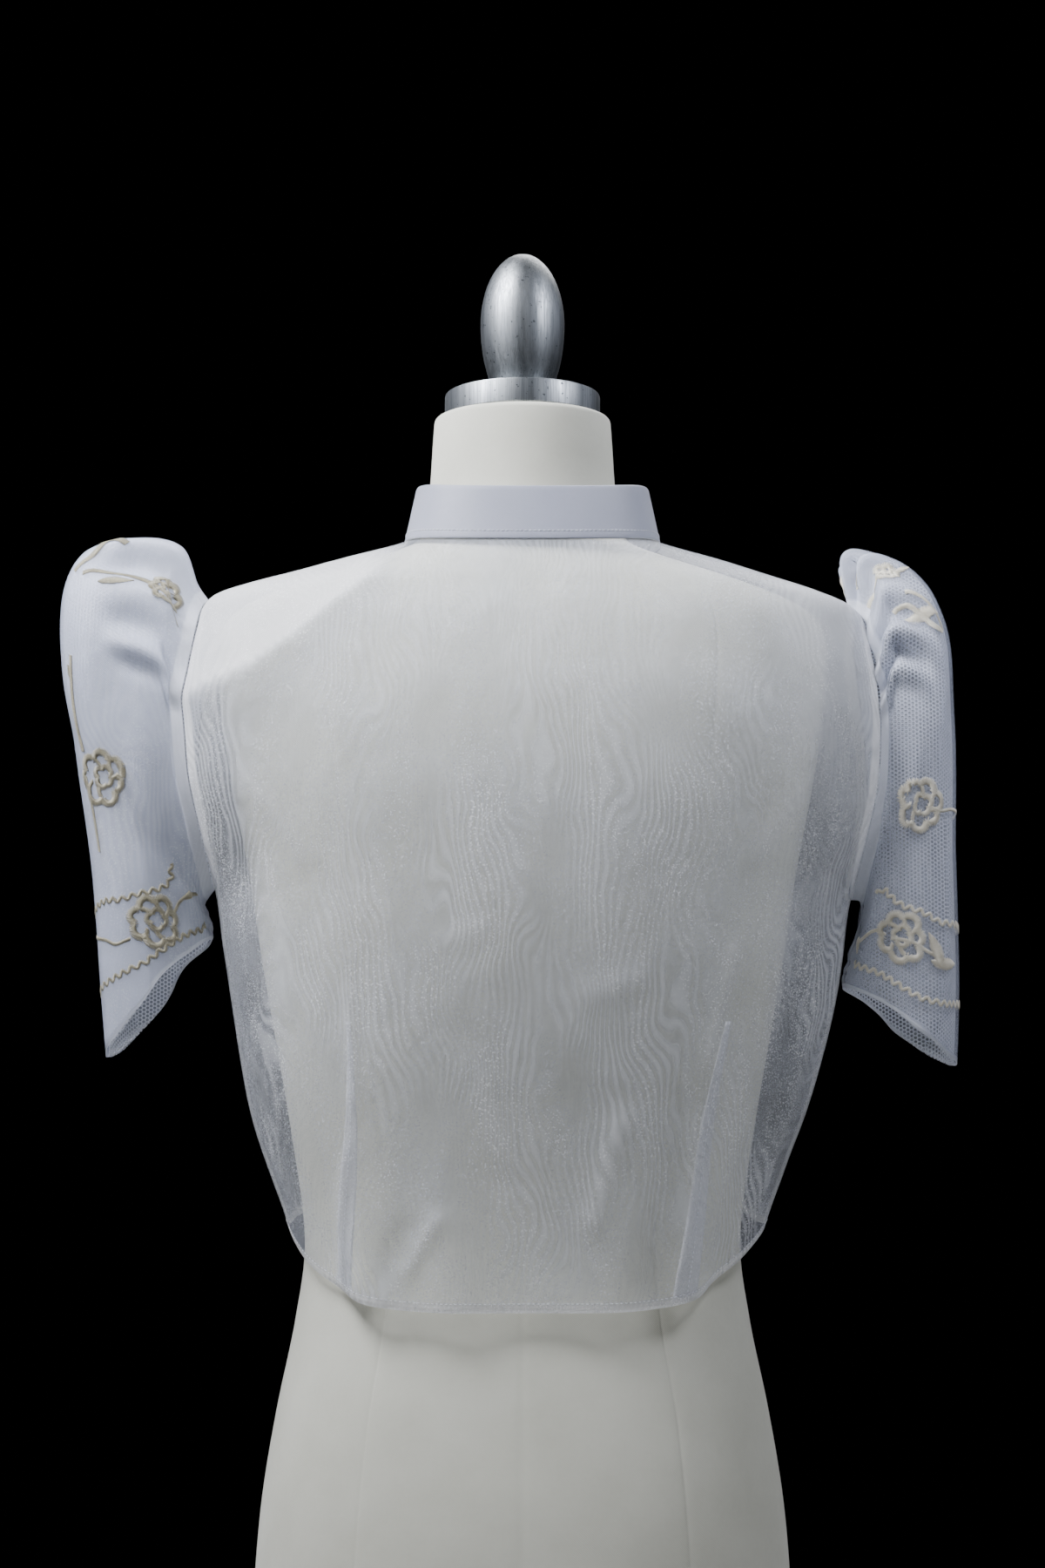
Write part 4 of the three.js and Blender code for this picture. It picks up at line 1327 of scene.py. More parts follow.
@dataclass
class StitchRun:
    """Stitches gathered along any number of paths, to be laid as one piece."""

    places: list[Array] = field(default_factory=list)
    across: list[Array] = field(default_factory=list)
    lift: list[Array] = field(default_factory=list)
    reach: list[Array] = field(default_factory=list)
    satin_pitch: float = 0.62
    satin_slant: float = 0.35
    satin_lift: float = 0.12
    running_pitch: float = 2.7
    unevenness: float = 0.08

    def satin(self, points: Array, normals: Array, width: Array | float) -> None:
        """Adds a line of satin stitch: threads side by side across a path.

        Args:
            points: the path, in millimetres.
            normals: the cloth's normals along it.
            width: the line's width at each point.
        """
        lifted = points + normals * self.satin_lift
        spots, lifts, along, share = resample(lifted, normals, self.satin_pitch)
        side = unit(np.cross(lifts, along))
        wide = np.interp(share, np.linspace(0, 1, np.size(width)), np.atleast_1d(width))
        leaning = side * math.cos(self.satin_slant) + along * math.sin(self.satin_slant)
        self.add(spots, unit(leaning), lifts, wide)

    def running(self, points: Array, normals: Array, length: float) -> None:
        """Adds a line of running stitch, threads of one length end to end along a path."""
        spots, lifts, along, _ = resample(points, normals, self.running_pitch)
        self.add(spots, along, lifts, np.full(len(spots), length))

    def add(self, spots: Array, across: Array, lifts: Array, reach: Array) -> None:
        """Adds stitches at places, in millimetres.

        Args:
            spots: their middles.
            across: the way each thread runs.
            lifts: the cloth's normals there.
            reach: each thread's length.
        """
        self.places.append(spots)
        self.across.append(across)
        self.lift.append(lifts)
        self.reach.append(reach)

    def lay(self, name: str, width: float, height: float, finish: Finish, seed: int) -> Piece:
        """Lays all the stitches as one piece.

        Args:
            name: the piece's name.
            width: a thread's width, in millimetres.
            height: how high it stands.
            finish: its finish.
            seed: seed of its unevenness.

        Returns:
            The object.
        """
        mesh = bpy.data.meshes.new(name)
        mesh.from_pydata((np.concatenate(self.places) * MM).tolist(), [], [])
        for key, rows in (("across", self.across), ("lift", self.lift)):
            layer = mesh.attributes.new(key, "FLOAT_VECTOR", "POINT")
            layer.data.foreach_set("vector", np.concatenate(rows).astype(np.float32).ravel())
        layer = mesh.attributes.new("reach", "FLOAT", "POINT")
        layer.data.foreach_set("value", (np.concatenate(self.reach) * MM).astype(np.float32))
        values = {
            "Thread Width": width * MM,
            "Thread Height": height * MM,
            "Unevenness": self.unevenness,
            "Seed": seed,
            "Thread": finish.material,
        }
        return StitchLayer().grow(name, mesh, values)


def resample(points: Array, normals: Array, pitch: float) -> tuple[Array, Array, Array, Array]:
    """Places at even steps along a path.

    Args:
        points: the path's points, in millimetres.
        normals: the cloth's normals at them.
        pitch: the step.

    Returns:
        The places, their normals, the path's direction, and the share along it.
    """
    length = np.concatenate([[0], np.cumsum(np.linalg.norm(np.diff(points, axis=0), axis=1))])
    count = max(int(length[-1] / pitch), 2)
    marks = (np.arange(count) + 0.5) * length[-1] / count
    spots = np.stack([np.interp(marks, length, points[:, k]) for k in range(3)], axis=1)
    lifts = unit(np.stack([np.interp(marks, length, normals[:, k]) for k in range(3)], axis=1))
    along = unit(np.gradient(spots, axis=0))
    return spots, lifts, along, marks / length[-1]


def smooth_line(controls: Sequence[tuple[float, float]], steps: int = 24) -> Array:
    """A smooth line through control points in two dimensions.

    Args:
        controls: the points.
        steps: places between two of them.

    Returns:
        The line's points.
    """
    points = np.array(controls, dtype=float)
    padded = np.concatenate([[2 * points[0] - points[1]], points, [2 * points[-1] - points[-2]]])
    t = np.linspace(0, 1, steps, endpoint=False)[:, None]
    runs = []
    for a, b, c, d in zip(padded[:-3], padded[1:-2], padded[2:-1], padded[3:]):
        cubic = 2 * b + (c - a) * t + (2 * a - 5 * b + 4 * c - d) * t**2
        runs.append(0.5 * (cubic + (3 * b - a - 3 * c + d) * t**3))
    return np.concatenate([*runs, points[-1:]])


# ---- the body of the bolero ----
@dataclass(frozen=True)
class Dart:
    """A waist dart: its side and, in millimetres, how far out it runs and its width."""

    name: str
    side: int
    point_out: float
    middle_out: float
    hem_out: float
    hem_width: float


@dataclass(frozen=True)
class PanelSpec:
    """One panel: its name, node, edges by row, columns and flat cut."""

    name: str
    node: str
    start: Callable[[Array], Array]
    end: Callable[[Array], Array]
    columns: int
    flat: tuple[float, float]
    area: float


def back_edge(share: Array) -> Array:
    """The back panel's edge angle on each row."""
    return side_edge(share, armhole_depth(share), Half.BACK, ARMHOLE_BACK)


def front_edge(share: Array) -> Array:
    """A front's side edge angle on each row."""
    return side_edge(share, armhole_depth(share), Half.FRONT, ARMHOLE_FRONT)


def centre_edge(share: Array) -> Array:
    """The angle of a front's centre edge on each row."""
    gap = mix(FRONT_GAP_NECK, FRONT_GAP_HEM, share**1.6)
    return out_angle(share, gap, math.pi * 0.98)


@dataclass
class Bodice:
    """Back, fronts, waist darts and their sewing."""

    shoulder_rows: int = 18
    armhole_rows: int = 54
    side_rows: int = 70
    back_columns: int = 168
    front_columns: int = 84
    shoulder_seam: float = 12.0
    armhole_seam: float = 10.0
    side_seam: float = 9.0
    hem: float = 6.0
    facing: float = 12.0
    hem_stitch: float = 5.0
    fade: float = 1.2
    break_painted_highlight: float = 0.5
    yoke_painted_highlight: float = 0.85
    slope_painted_highlight: float = 0.3
    crest_painted_highlight: float = 0.3
    arm_plies: float = 0.5
    darts: tuple[Dart, ...] = (
        Dart("left", -1, 101, 95, 103, 13),
        Dart("right", 1, 111, 99, 88, 14),
    )
    dart_from: float = 0.25
    dart_top: float = 3.0
    dart_gap: float = 0.35
    back_guess: float = 0.6

    def rows(self) -> Array:
        """The rows of a panel, as shares of its length.

        Returns:
            The shares.
        """
        shoulder = np.linspace(0, TIP_SHARE, self.shoulder_rows, endpoint=False)
        turn = np.linspace(0, math.pi, self.armhole_rows + 1)
        armhole = mix(TIP_SHARE, UNDERARM_SHARE, (1 - np.cos(turn)) / 2)
        side = np.linspace(UNDERARM_SHARE, 1, self.side_rows + 1)[1:]
        return np.concatenate([shoulder, armhole, side])

    def panel(self, spec: PanelSpec) -> Piece:
        """Builds one panel.

        Args:
            spec: the panel.

        Returns:
            The object.
        """
        share = self.rows()
        start, end = spec.start(share), spec.end(share)
        t = np.linspace(0, 1, spec.columns + 1)
        angle = mix(start[:, None], end[:, None], t[None, :])
        shares = np.repeat(share[:, None], spec.columns + 1, axis=1)
        drop = BodyCloth.row_drop(angle, shares)
        outer = BodyCloth.point(angle, drop)
        normals = BodyCloth.normal(angle, drop)
        plies = self.plies(spec, shares, outer)
        place = BodyCloth.section(CLOTH_SECTIONS, angle, drop)[..., 0]
        # Painted highlight: the cloth on and above the shoulder break, on the shoulder slopes and on
        # the crease crests is drawn lighter and less sheer, as if it caught the light from above;
        # beside the right arm the cloth is denser where it draws together.
        crest = BodyCloth.shoulder_break(angle, drop, place)
        above = self.above_break(place, drop) * smooth(np.cos(angle) * 5)
        denser_and_painted_highlight = self.break_painted_highlight * crest + self.yoke_painted_highlight * above
        denser_and_painted_highlight = denser_and_painted_highlight + self.slope_painted_highlight * self.near_shoulder(place, drop)
        denser_and_painted_highlight = denser_and_painted_highlight + self.crest_painted_highlight * BodyCloth.crests(angle, drop, place)
        denser_and_painted_highlight = denser_and_painted_highlight + self.arm_plies * self.beside_arm(place, drop)
        plies = np.clip(plies + denser_and_painted_highlight, 0, 1)
        return cloth_piece(
            spec.name, outer, normals, CLOTH_WALL, False, Finish.ORGANZA.material, plies
        )

    @staticmethod
    def above_break(x: Array, drop: Array) -> Array:
        """1 where the cloth lies above the shoulder break, 0 below it; the cloth there gets a painted
        highlight.

        Args:
            x: places across, in millimetres.
            drop: distances below the nape.

        Returns:
            The shares, from 0 to 1.
        """
        marks = np.array(SHOULDER_BREAK, dtype=float)
        line = np.interp(x, marks[:, 0], marks[:, 1])
        return smooth((line - drop) / 6) * smooth((-70 - x) / 30)

    @staticmethod
    def near_shoulder(x: Array, drop: Array) -> Array:
        """1 on the slope of each shoulder, where the cloth faces up and gets a painted highlight."""
        return smooth((np.abs(x) - 60) / 90) * smooth((62 - drop) / 40)

    @staticmethod
    def beside_arm(x: Array, drop: Array) -> Array:
        """1 where the cloth draws together beside the right arm."""
        return smooth((x - 125) / 40) * smooth((265 - drop) / 210)

    def plies(self, spec: PanelSpec, share: Array, outer: Array) -> Array:
        """Where seam allowances, hems and facings double the cloth.

        Args:
            spec: the panel.
            share: the row share at each point.
            outer: the points, in millimetres.

        Returns:
            How much is doubled at each point, from 0 to 1.
        """
        steps = np.linalg.norm(np.diff(outer, axis=1), axis=2)
        run = np.concatenate([np.zeros((len(outer), 1)), np.cumsum(steps, axis=1)], axis=1)
        from_start, from_end = run, run[:, -1:] - run
        width = np.where(share < TIP_SHARE, self.shoulder_seam, self.armhole_seam)
        width = np.where(share > UNDERARM_SHARE, self.side_seam, width)
        at_start = self.facing if spec.node == "front_left" else width
        at_end = self.facing if spec.node == "front_right" else width
        doubled = smooth((at_start - from_start) / self.fade)
        doubled = np.maximum(doubled, smooth((at_end - from_end) / self.fade))
        down = np.linalg.norm(np.diff(outer, axis=0), axis=2)
        climb = np.concatenate([np.cumsum(down[::-1], axis=0)[::-1], np.zeros((1, share.shape[1]))])
        return np.maximum(doubled, smooth((self.hem - climb) / 1.0))

    def dart_line(self, dart: Dart, rows: int) -> tuple[Array, Array, Array]:
        """The middle line of a waist dart, from its point to the hem.

        Args:
            dart: the dart.
            rows: how many places it has.

        Returns:
            The share along the dart, the row share of the back and how far out it is.
        """
        t = np.linspace(0, 1, rows)
        share = mix(mix(UNDERARM_SHARE, 1, self.dart_from), 1, t)
        bend = dart.middle_out - (dart.point_out + dart.hem_out) / 2
        return t, share, mix(dart.point_out, dart.hem_out, t) + bend * 4 * t * (1 - t)

    def dart(self, dart: Dart) -> Piece:
        """Builds a waist dart, a folded strip inside the back.

        Args:
            dart: its sizes.

        Returns:
            The object.
        """
        t, share, out = self.dart_line(dart, 70)
        half = mix(self.dart_top, dart.hem_width, t) / 2
        grid, lifts = [], []
        for place in np.linspace(-1, 1, 9):
            angle = dart.side * out_angle(share, out + place * half, self.back_guess)
            drop = BodyCloth.row_drop(angle, share)
            normal = BodyCloth.normal(angle, drop)
            grid.append(BodyCloth.point(angle, drop) - normal * (CLOTH_WALL + self.dart_gap))
            lifts.append(normal)
        outer, normals = np.stack(grid, axis=1), np.stack(lifts, axis=1)
        plies = np.zeros(outer.shape[:2])
        plies[:, [0, -1]] = 1
        material = Finish.DART_ORGANZA.material
        return cloth_piece(
            f"waist_dart_{dart.name}", outer, normals, CLOTH_WALL, False, material, plies
        )

    def sewing(self) -> Piece:
        """The hem's running stitch and the stitched line of each dart.

        Returns:
            The object.
        """
        run = StitchRun()
        for start, end in ((-1.5, 1.5), (1.64, 3.02), (-3.02, -1.64)):
            angle = np.linspace(start, end, 160)
            self.add_line(run, angle, BodyCloth.hem_drop(angle) - self.hem_stitch)
        for dart in self.darts:
            _, share, out = self.dart_line(dart, 60)
            angle = dart.side * out_angle(share, out, self.back_guess)
            self.add_line(run, angle, BodyCloth.row_drop(angle, share))
        return run.lay("bodice_stitching", 0.42, 0.36, Finish.SEWING, 11)

    @staticmethod
    def add_line(run: StitchRun, angle: Array, drop: Array) -> None:
        """Adds a line of running stitch on the outer face."""
        normal = BodyCloth.normal(angle, drop)
        run.running(BodyCloth.point(angle, drop) + normal * 0.1, normal, 1.9)

    def build(self) -> None:
        specs = (
            PanelSpec(
                "organza_back", "back_panel", lambda s: -back_edge(s), back_edge,
                self.back_columns, (0.48, 0.46), 0.2,
            ),
            PanelSpec(
                "organza_front_left", "front_left", lambda s: -centre_edge(s),
                lambda s: -front_edge(s), self.front_columns, (0.26, 0.4), 0.09,
            ),
            PanelSpec(
                "organza_front_right", "front_right", front_edge, centre_edge,
                self.front_columns, (0.26, 0.4), 0.09,
            ),
        )
        stitching = self.sewing()
        hand_over(stitching, "organza")
        for spec in specs:
            piece = self.panel(spec)
            hand_over(piece, "organza", spec.node)
        for dart in self.darts:
            piece = self.dart(dart)
            hand_over(piece, "organza", f"dart_{dart.name}")


@dataclass
class StandCollar:
    """The doubled and stiffened stand band with its line of topstitching."""

    columns: int = 260
    edge_round: float = 0.8
    stitch_height: float = 5.0

    def seam(self) -> tuple[Array, Array]:
        """The neck seam's points and the level direction out of it.

        Returns:
            The points, and the directions of length one.
        """
        end = float(centre_edge(np.array([0.0]))[0])
        t = np.linspace(-1, 1, self.columns)
        angle = np.sign(t) * (1 - (1 - np.abs(t)) ** 1.15) * end
        points = BodyCloth.point(angle, BodyCloth.neck_drop(angle))
        along = np.gradient(points, axis=0)
        return points, unit(np.stack([along[:, 1], -along[:, 0], 0 * along[:, 0]], axis=1))

    def build(self) -> None:
        points, out = self.seam()

        def ring(height: float, depth: float) -> Array:
            """The band's line at a height and a depth behind its outer face."""
            moved = points - out * (COLLAR_LEAN * height / COLLAR_HEIGHT + depth)
            return moved + np.array([0, 0, height + 2 * SEAM_GAP])

        r, wall, top = self.edge_round, COLLAR_WALL, COLLAR_HEIGHT
        section = [(h, 0.0) for h in np.linspace(r, top - r, 14)]
        near = 0.25 * r
        section += [(top - near, near), (top, r), (top, wall - r), (top - near, wall - near)]
        section += [(h, wall) for h in np.linspace(top - r, r, 14)]
        section += [(near, wall - near), (0.0, wall - r), (0.0, r), (near, near)]
        grid = np.stack([ring(height, depth) for height, depth in section], axis=1)
        rows, columns = grid.shape[:2]
        flat = grid.reshape(-1, 3)
        sides = outward(flat, grid_faces(rows, columns, True))
        faces = sides.tolist() + end_faces(rows, columns)
        piece = finish_mesh("stand_band", flat, faces, Finish.COLLAR.material)
        face_outward(piece.data)
        run = StitchRun()
        run.running(ring(self.stitch_height, -0.15), out, 2.1)
        stitching = run.lay("collar_stitching", 0.6, 0.5, Finish.SEWING, 12)
        hand_over(stitching, "collar_cloth")
        hand_over(piece, "collar_cloth", "stand_collar")


# ---- sleeves ----
SLEEVE_COLUMNS = ("step", "foldOut", "foldDrop", "seamOut", "seamDrop", "back", "front", "square")
LEFT_SECTIONS = (
    (0.06, 197, 27, 187, 216, 54, 48, 2.0), (0.14, 207, 5, 188, 218, 56, 50, 2.1),
    (0.26, 236, 1, 188, 221, 57, 52, 2.4), (0.36, 260, 8, 187, 224, 56, 52, 2.8),
    (0.45, 272, 34, 186, 227, 53, 50, 3.2), (0.56, 273, 78, 184, 230, 50, 48, 3.2),
    (0.68, 264, 130, 184, 233, 48, 47, 3.0), (0.82, 254, 200, 184, 236, 47, 46, 2.6),
    (1.0, 245, 309, 184, 240, 46, 45, 2.2),
)
RIGHT_SECTIONS = (
    (0.06, 205, 29, 200, 217, 54, 48, 2.0), (0.14, 210, 12, 201, 223, 56, 50, 2.1),
    (0.26, 224, 15, 200, 230, 57, 52, 2.3), (0.36, 243, 33, 198, 236, 56, 52, 2.6),
    (0.45, 253, 60, 196, 242, 53, 50, 2.8), (0.56, 255, 105, 194, 248, 50, 48, 2.8),
    (0.68, 256, 160, 192, 254, 48, 47, 2.8), (0.82, 257, 230, 190, 260, 47, 46, 2.6),
    (1.0, 255, 314, 189, 268, 46, 45, 2.2),
)


@dataclass
class SleeveShape:
    """A sleeve as a surface over turn, round it from the fold, and step, along it."""

    side: int
    overhang: float
    sections: tuple[tuple[float, ...], ...]
    pleat_height: float = 4.2
    gather_height: float = 0.8
    gather_width: float = 6.4
    pleat_reach: float = 75.0
    pleat_width: float = 12.0
    pleat_step: float = 0.17
    pleat_length: float = 0.2
    overhang_step: float = 0.16
    overhang_length: float = 0.11
    overhang_turn: float = -0.25
    overhang_spread: float = 0.55
    bow_kept: float = 0.6
    bow_fade: float = 0.75

    def __post_init__(self) -> None:
        """Adds the armhole's own row to the table."""
        tip = self.armhole(np.array([0.0]))[0]
        under = self.armhole(np.array([math.pi]))[0]
        self.first = (abs(tip[0]), NAPE_HEIGHT - tip[2], abs(under[0]), NAPE_HEIGHT - under[2])
        start = (0.0, *self.first, ARMHOLE_BACK, ARMHOLE_FRONT, 2.0)
        self.table = Table(SLEEVE_COLUMNS, (start, *self.sections))

    def armhole(self, turn: Array) -> Array:
        """The armhole's edge, from the shoulder tip down the back and up the front.

        Args:
            turn: angles round the armhole, in radians.

        Returns:
            The points.
        """
        turn = np.mod(turn, 2 * math.pi)
        share = mix(TIP_SHARE, UNDERARM_SHARE, (1 - np.cos(turn)) / 2)
        depth = np.abs(np.sin(turn))
        back = side_edge(share, depth, Half.BACK, ARMHOLE_BACK)
        front = side_edge(share, depth, Half.FRONT, ARMHOLE_FRONT)
        angle = self.side * np.where(turn <= math.pi, back, front)
        points = BodyCloth.point(angle, BodyCloth.row_drop(angle, share))
        points[..., 0] += self.side * ARMHOLE_CLEARANCE
        return points

    def plain(self, turn: Array, step: Array) -> Array:
        """The sleeve's outer face without its pleats, in millimetres.

        Args:
            turn: angles round it from its fold.
            step: shares along it.

        Returns:
            The points.
        """
        turn, step = np.broadcast_arrays(turn, np.clip(step, 0, 1))
        edge = self.armhole(turn)
        fold_out, fold_drop, seam_out, seam_drop = self.first
        cosine, sine = np.cos(turn), np.sin(turn)
        square = np.where(cosine > 0, self.table.read(step, "square"), 2.0)
        power = 2 / square
        share = (1 + signed_power(cosine, power)) / 2
        plain_share = (1 + cosine) / 2
        bow = 1 - smooth(step / self.bow_fade)
        read = self.table.read
        out = mix(read(step, "seamOut"), read(step, "foldOut"), share)
        drop = mix(read(step, "seamDrop"), read(step, "foldDrop"), share)
        full = np.mod(turn, 2 * math.pi)
        reach = np.where(full <= math.pi, -read(step, "back"), read(step, "front"))
        depth = reach * np.abs(sine) ** power
        bow_out = np.abs(edge[..., 0]) - mix(seam_out, fold_out, plain_share)
        bow_drop = NAPE_HEIGHT - edge[..., 2] - mix(seam_drop, fold_drop, plain_share)
        bow_left = mix(1, bow, smooth(share / self.bow_kept))
        around = np.where(full > math.pi, full - 2 * math.pi, full)
        along = (step - self.overhang_step) / self.overhang_length
        round_it = (around - self.overhang_turn) / self.overhang_spread
        crown = np.exp(-(along**2) - round_it**2)
        x = self.side * (out + bow_out * bow_left - self.overhang * crown)
        y, z = mix(depth, edge[..., 1], bow), NAPE_HEIGHT - drop - bow_drop * bow
        return np.stack([x, y, z], axis=-1)

    def plain_normal(self, turn: Array, step: Array) -> Array:
        """The outward normal of that face.

        Args:
            turn: angles round it from its fold.
            step: shares along it.

        Returns:
            The normals, of length one.
        """
        turn, step = np.broadcast_arrays(turn, step)
        low, high = np.clip(step - 0.006, 0, 1), np.clip(step + 0.006, 0, 1)
        along = self.plain(turn, high) - self.plain(turn, low)
        across = self.plain(turn + 0.02, step) - self.plain(turn - 0.02, step)
        return unit(np.cross(along, across)) * -self.side

    def point(self, turn: Array, step: Array) -> Array:
        """The sleeve's outer face with its pleats, in millimetres.

        Args:
            turn: angles round it from its fold.
            step: shares along it.

        Returns:
            The points.
        """
        degrees = np.degrees(np.mod(turn + math.pi, 2 * math.pi) - math.pi)
        near = np.clip(1 - np.abs(step - self.pleat_step) / self.pleat_length, 0, 1)
        within = smooth((self.pleat_reach + 8 - np.abs(degrees)) / 12)
        uneven = 1 + 0.45 * np.sin(degrees * 0.11 + 1.3 * self.side)
        wave = np.cos(np.pi * (degrees + 4 * np.sin(degrees * 0.09)) / self.pleat_width) * uneven
        height = self.pleat_height * smooth(near * 1.6) * within * wave
        gather = np.cos(np.pi * (degrees + 3 * np.sin(degrees * 0.13)) / self.gather_width)
        gather = gather * (0.65 + 0.35 * np.sin(degrees * 0.21 + self.side))
        held = smooth(step / 0.05) * smooth((0.34 - step) / 0.26)
        height = height + self.gather_height * gather * held * within
        ripple = 0.7 * np.sin(degrees / 17 + 9 * step) * np.sin(13 * step + 0.6 * self.side)
        ripple = ripple + 0.5 * np.sin(degrees / 7.5 - 15 * step + self.side)
        height = height + ripple * smooth((step - 0.1) / 0.25)
        return self.plain(turn, step) + self.plain_normal(turn, step) * height[..., None]


class SleeveChart:
    """Places on a sleeve by arc, in millimetres round it from its fold, and step."""

    WALK = 10
    REACH = 300.0
    PER_MM = 2

    def __init__(self, shape: SleeveShape, rings: int = 121, turns: int = 721) -> None:
        """Measures the sleeve on a fine grid.

        Args:
            shape: the sleeve's surface.
            rings: rings along it.
            turns: points round it, from behind the seam on one side to the other.
        """
        self.shape = shape
        self.steps = np.linspace(0, 1, rings)
        self.turns = np.linspace(-math.pi, math.pi, turns)
        grid = shape.point(self.turns[None, :], self.steps[:, None])
        run = np.linalg.norm(np.diff(grid, axis=1), axis=2)
        arc = np.concatenate([np.zeros((rings, 1)), np.cumsum(run, axis=1)], axis=1)
        arc = arc - arc[:, turns // 2 : turns // 2 + 1]
        count = int(2 * self.REACH * self.PER_MM) + 1
        self.marks = np.linspace(-self.REACH, self.REACH, count)
        turned = np.stack([np.interp(self.marks, row, self.turns) for row in arc])
        self.places = shape.point(turned, np.repeat(self.steps[:, None], count, axis=1))
        across, along = np.gradient(self.places, axis=1), np.gradient(self.places, axis=0)
        self.facing = unit(np.cross(along, across)) * -shape.side

    def read(self, lattice: Array, arc: Array, step: Array) -> Array:
        """The value of a measured lattice at arcs and steps, between its four nearest.

        Args:
            lattice: what was measured.
            arc: the arcs.
            step: the steps.

        Returns:
            The values.
        """
        arc, step = np.broadcast_arrays(arc, np.clip(step, 0, 1))
        down = step * (len(self.steps) - 1)
        over = np.clip((arc + self.REACH) * self.PER_MM, 0, len(self.marks) - 1.001)
        i = np.clip(down.astype(int), 0, len(self.steps) - 2)
        j = over.astype(int)
        x, y = (over - j)[..., None], (down - i)[..., None]
        upper = mix(lattice[i, j], lattice[i, j + 1], x)
        lower = mix(lattice[i + 1, j], lattice[i + 1, j + 1], x)
        return mix(upper, lower, y)

    def point(self, arc: Array, step: Array) -> Array:
        """The point at an arc and a step, in millimetres; the back has a positive arc."""
        return self.read(self.places, arc, step)

    def normal(self, arc: Array, step: Array) -> Array:
        """The outward normal at an arc and a step."""
        return unit(self.read(self.facing, arc, np.clip(step, 0.01, 0.99)))

    def motif(self, centre: tuple[float, float], shape_mm: Array) -> tuple[Array, Array]:
        """Lays a small drawing on the sleeve, upright about its centre.

        Args:
            centre: the arc and step of its middle.
            shape_mm: its points, right and up, in millimetres.

        Returns:
            The arcs and steps of its points.
        """
        arc = np.full(len(shape_mm), float(centre[0]))
        step = np.full(len(shape_mm), float(centre[1]))
        normal = self.normal(arc, step)
        right = unit(np.cross(np.array([0, 0, 1.0]) + 0 * normal, normal))
        for _ in range(self.WALK):
            normal = self.normal(arc, step)
            across = unit(right - normal * np.sum(right * normal, axis=1, keepdims=True))
            up = np.cross(normal, across)
            by_arc = self.point(arc + 0.5, step) - self.point(arc - 0.5, step)
            by_step = (self.point(arc, step + 0.005) - self.point(arc, step - 0.005)) / 0.01
            a, b = np.sum(by_arc * across, axis=1), np.sum(by_step * across, axis=1)
            c, d = np.sum(by_arc * up, axis=1), np.sum(by_step * up, axis=1)
            x, y = shape_mm[:, 0] / self.WALK, shape_mm[:, 1] / self.WALK
            whole = a * d - b * c
            arc = arc + (x * d - y * b) / whole
            step = np.clip(step + (y * a - x * c) / whole, 0.012, 0.985)
        return arc, step


class Drawn(Enum):
    """The kinds of embroidered drawing."""

    FLOWER = "flower"
    LEAF = "leaf"
    LEAF_PAIR = "leaf_pair"


@dataclass(frozen=True)
class Motif:
    """One embroidered drawing: its kind, place, size in millimetres and turn in degrees."""

    kind: Drawn
    centre: tuple[float, float]
    size: float
    turn: float = 0.0


@dataclass(frozen=True)
class Stem:
    """One embroidered line: its places by arc and step, width and waviness in millimetres."""

    places: tuple[tuple[float, float], ...]
    width: float = 3.2
    wave: float = 0.0


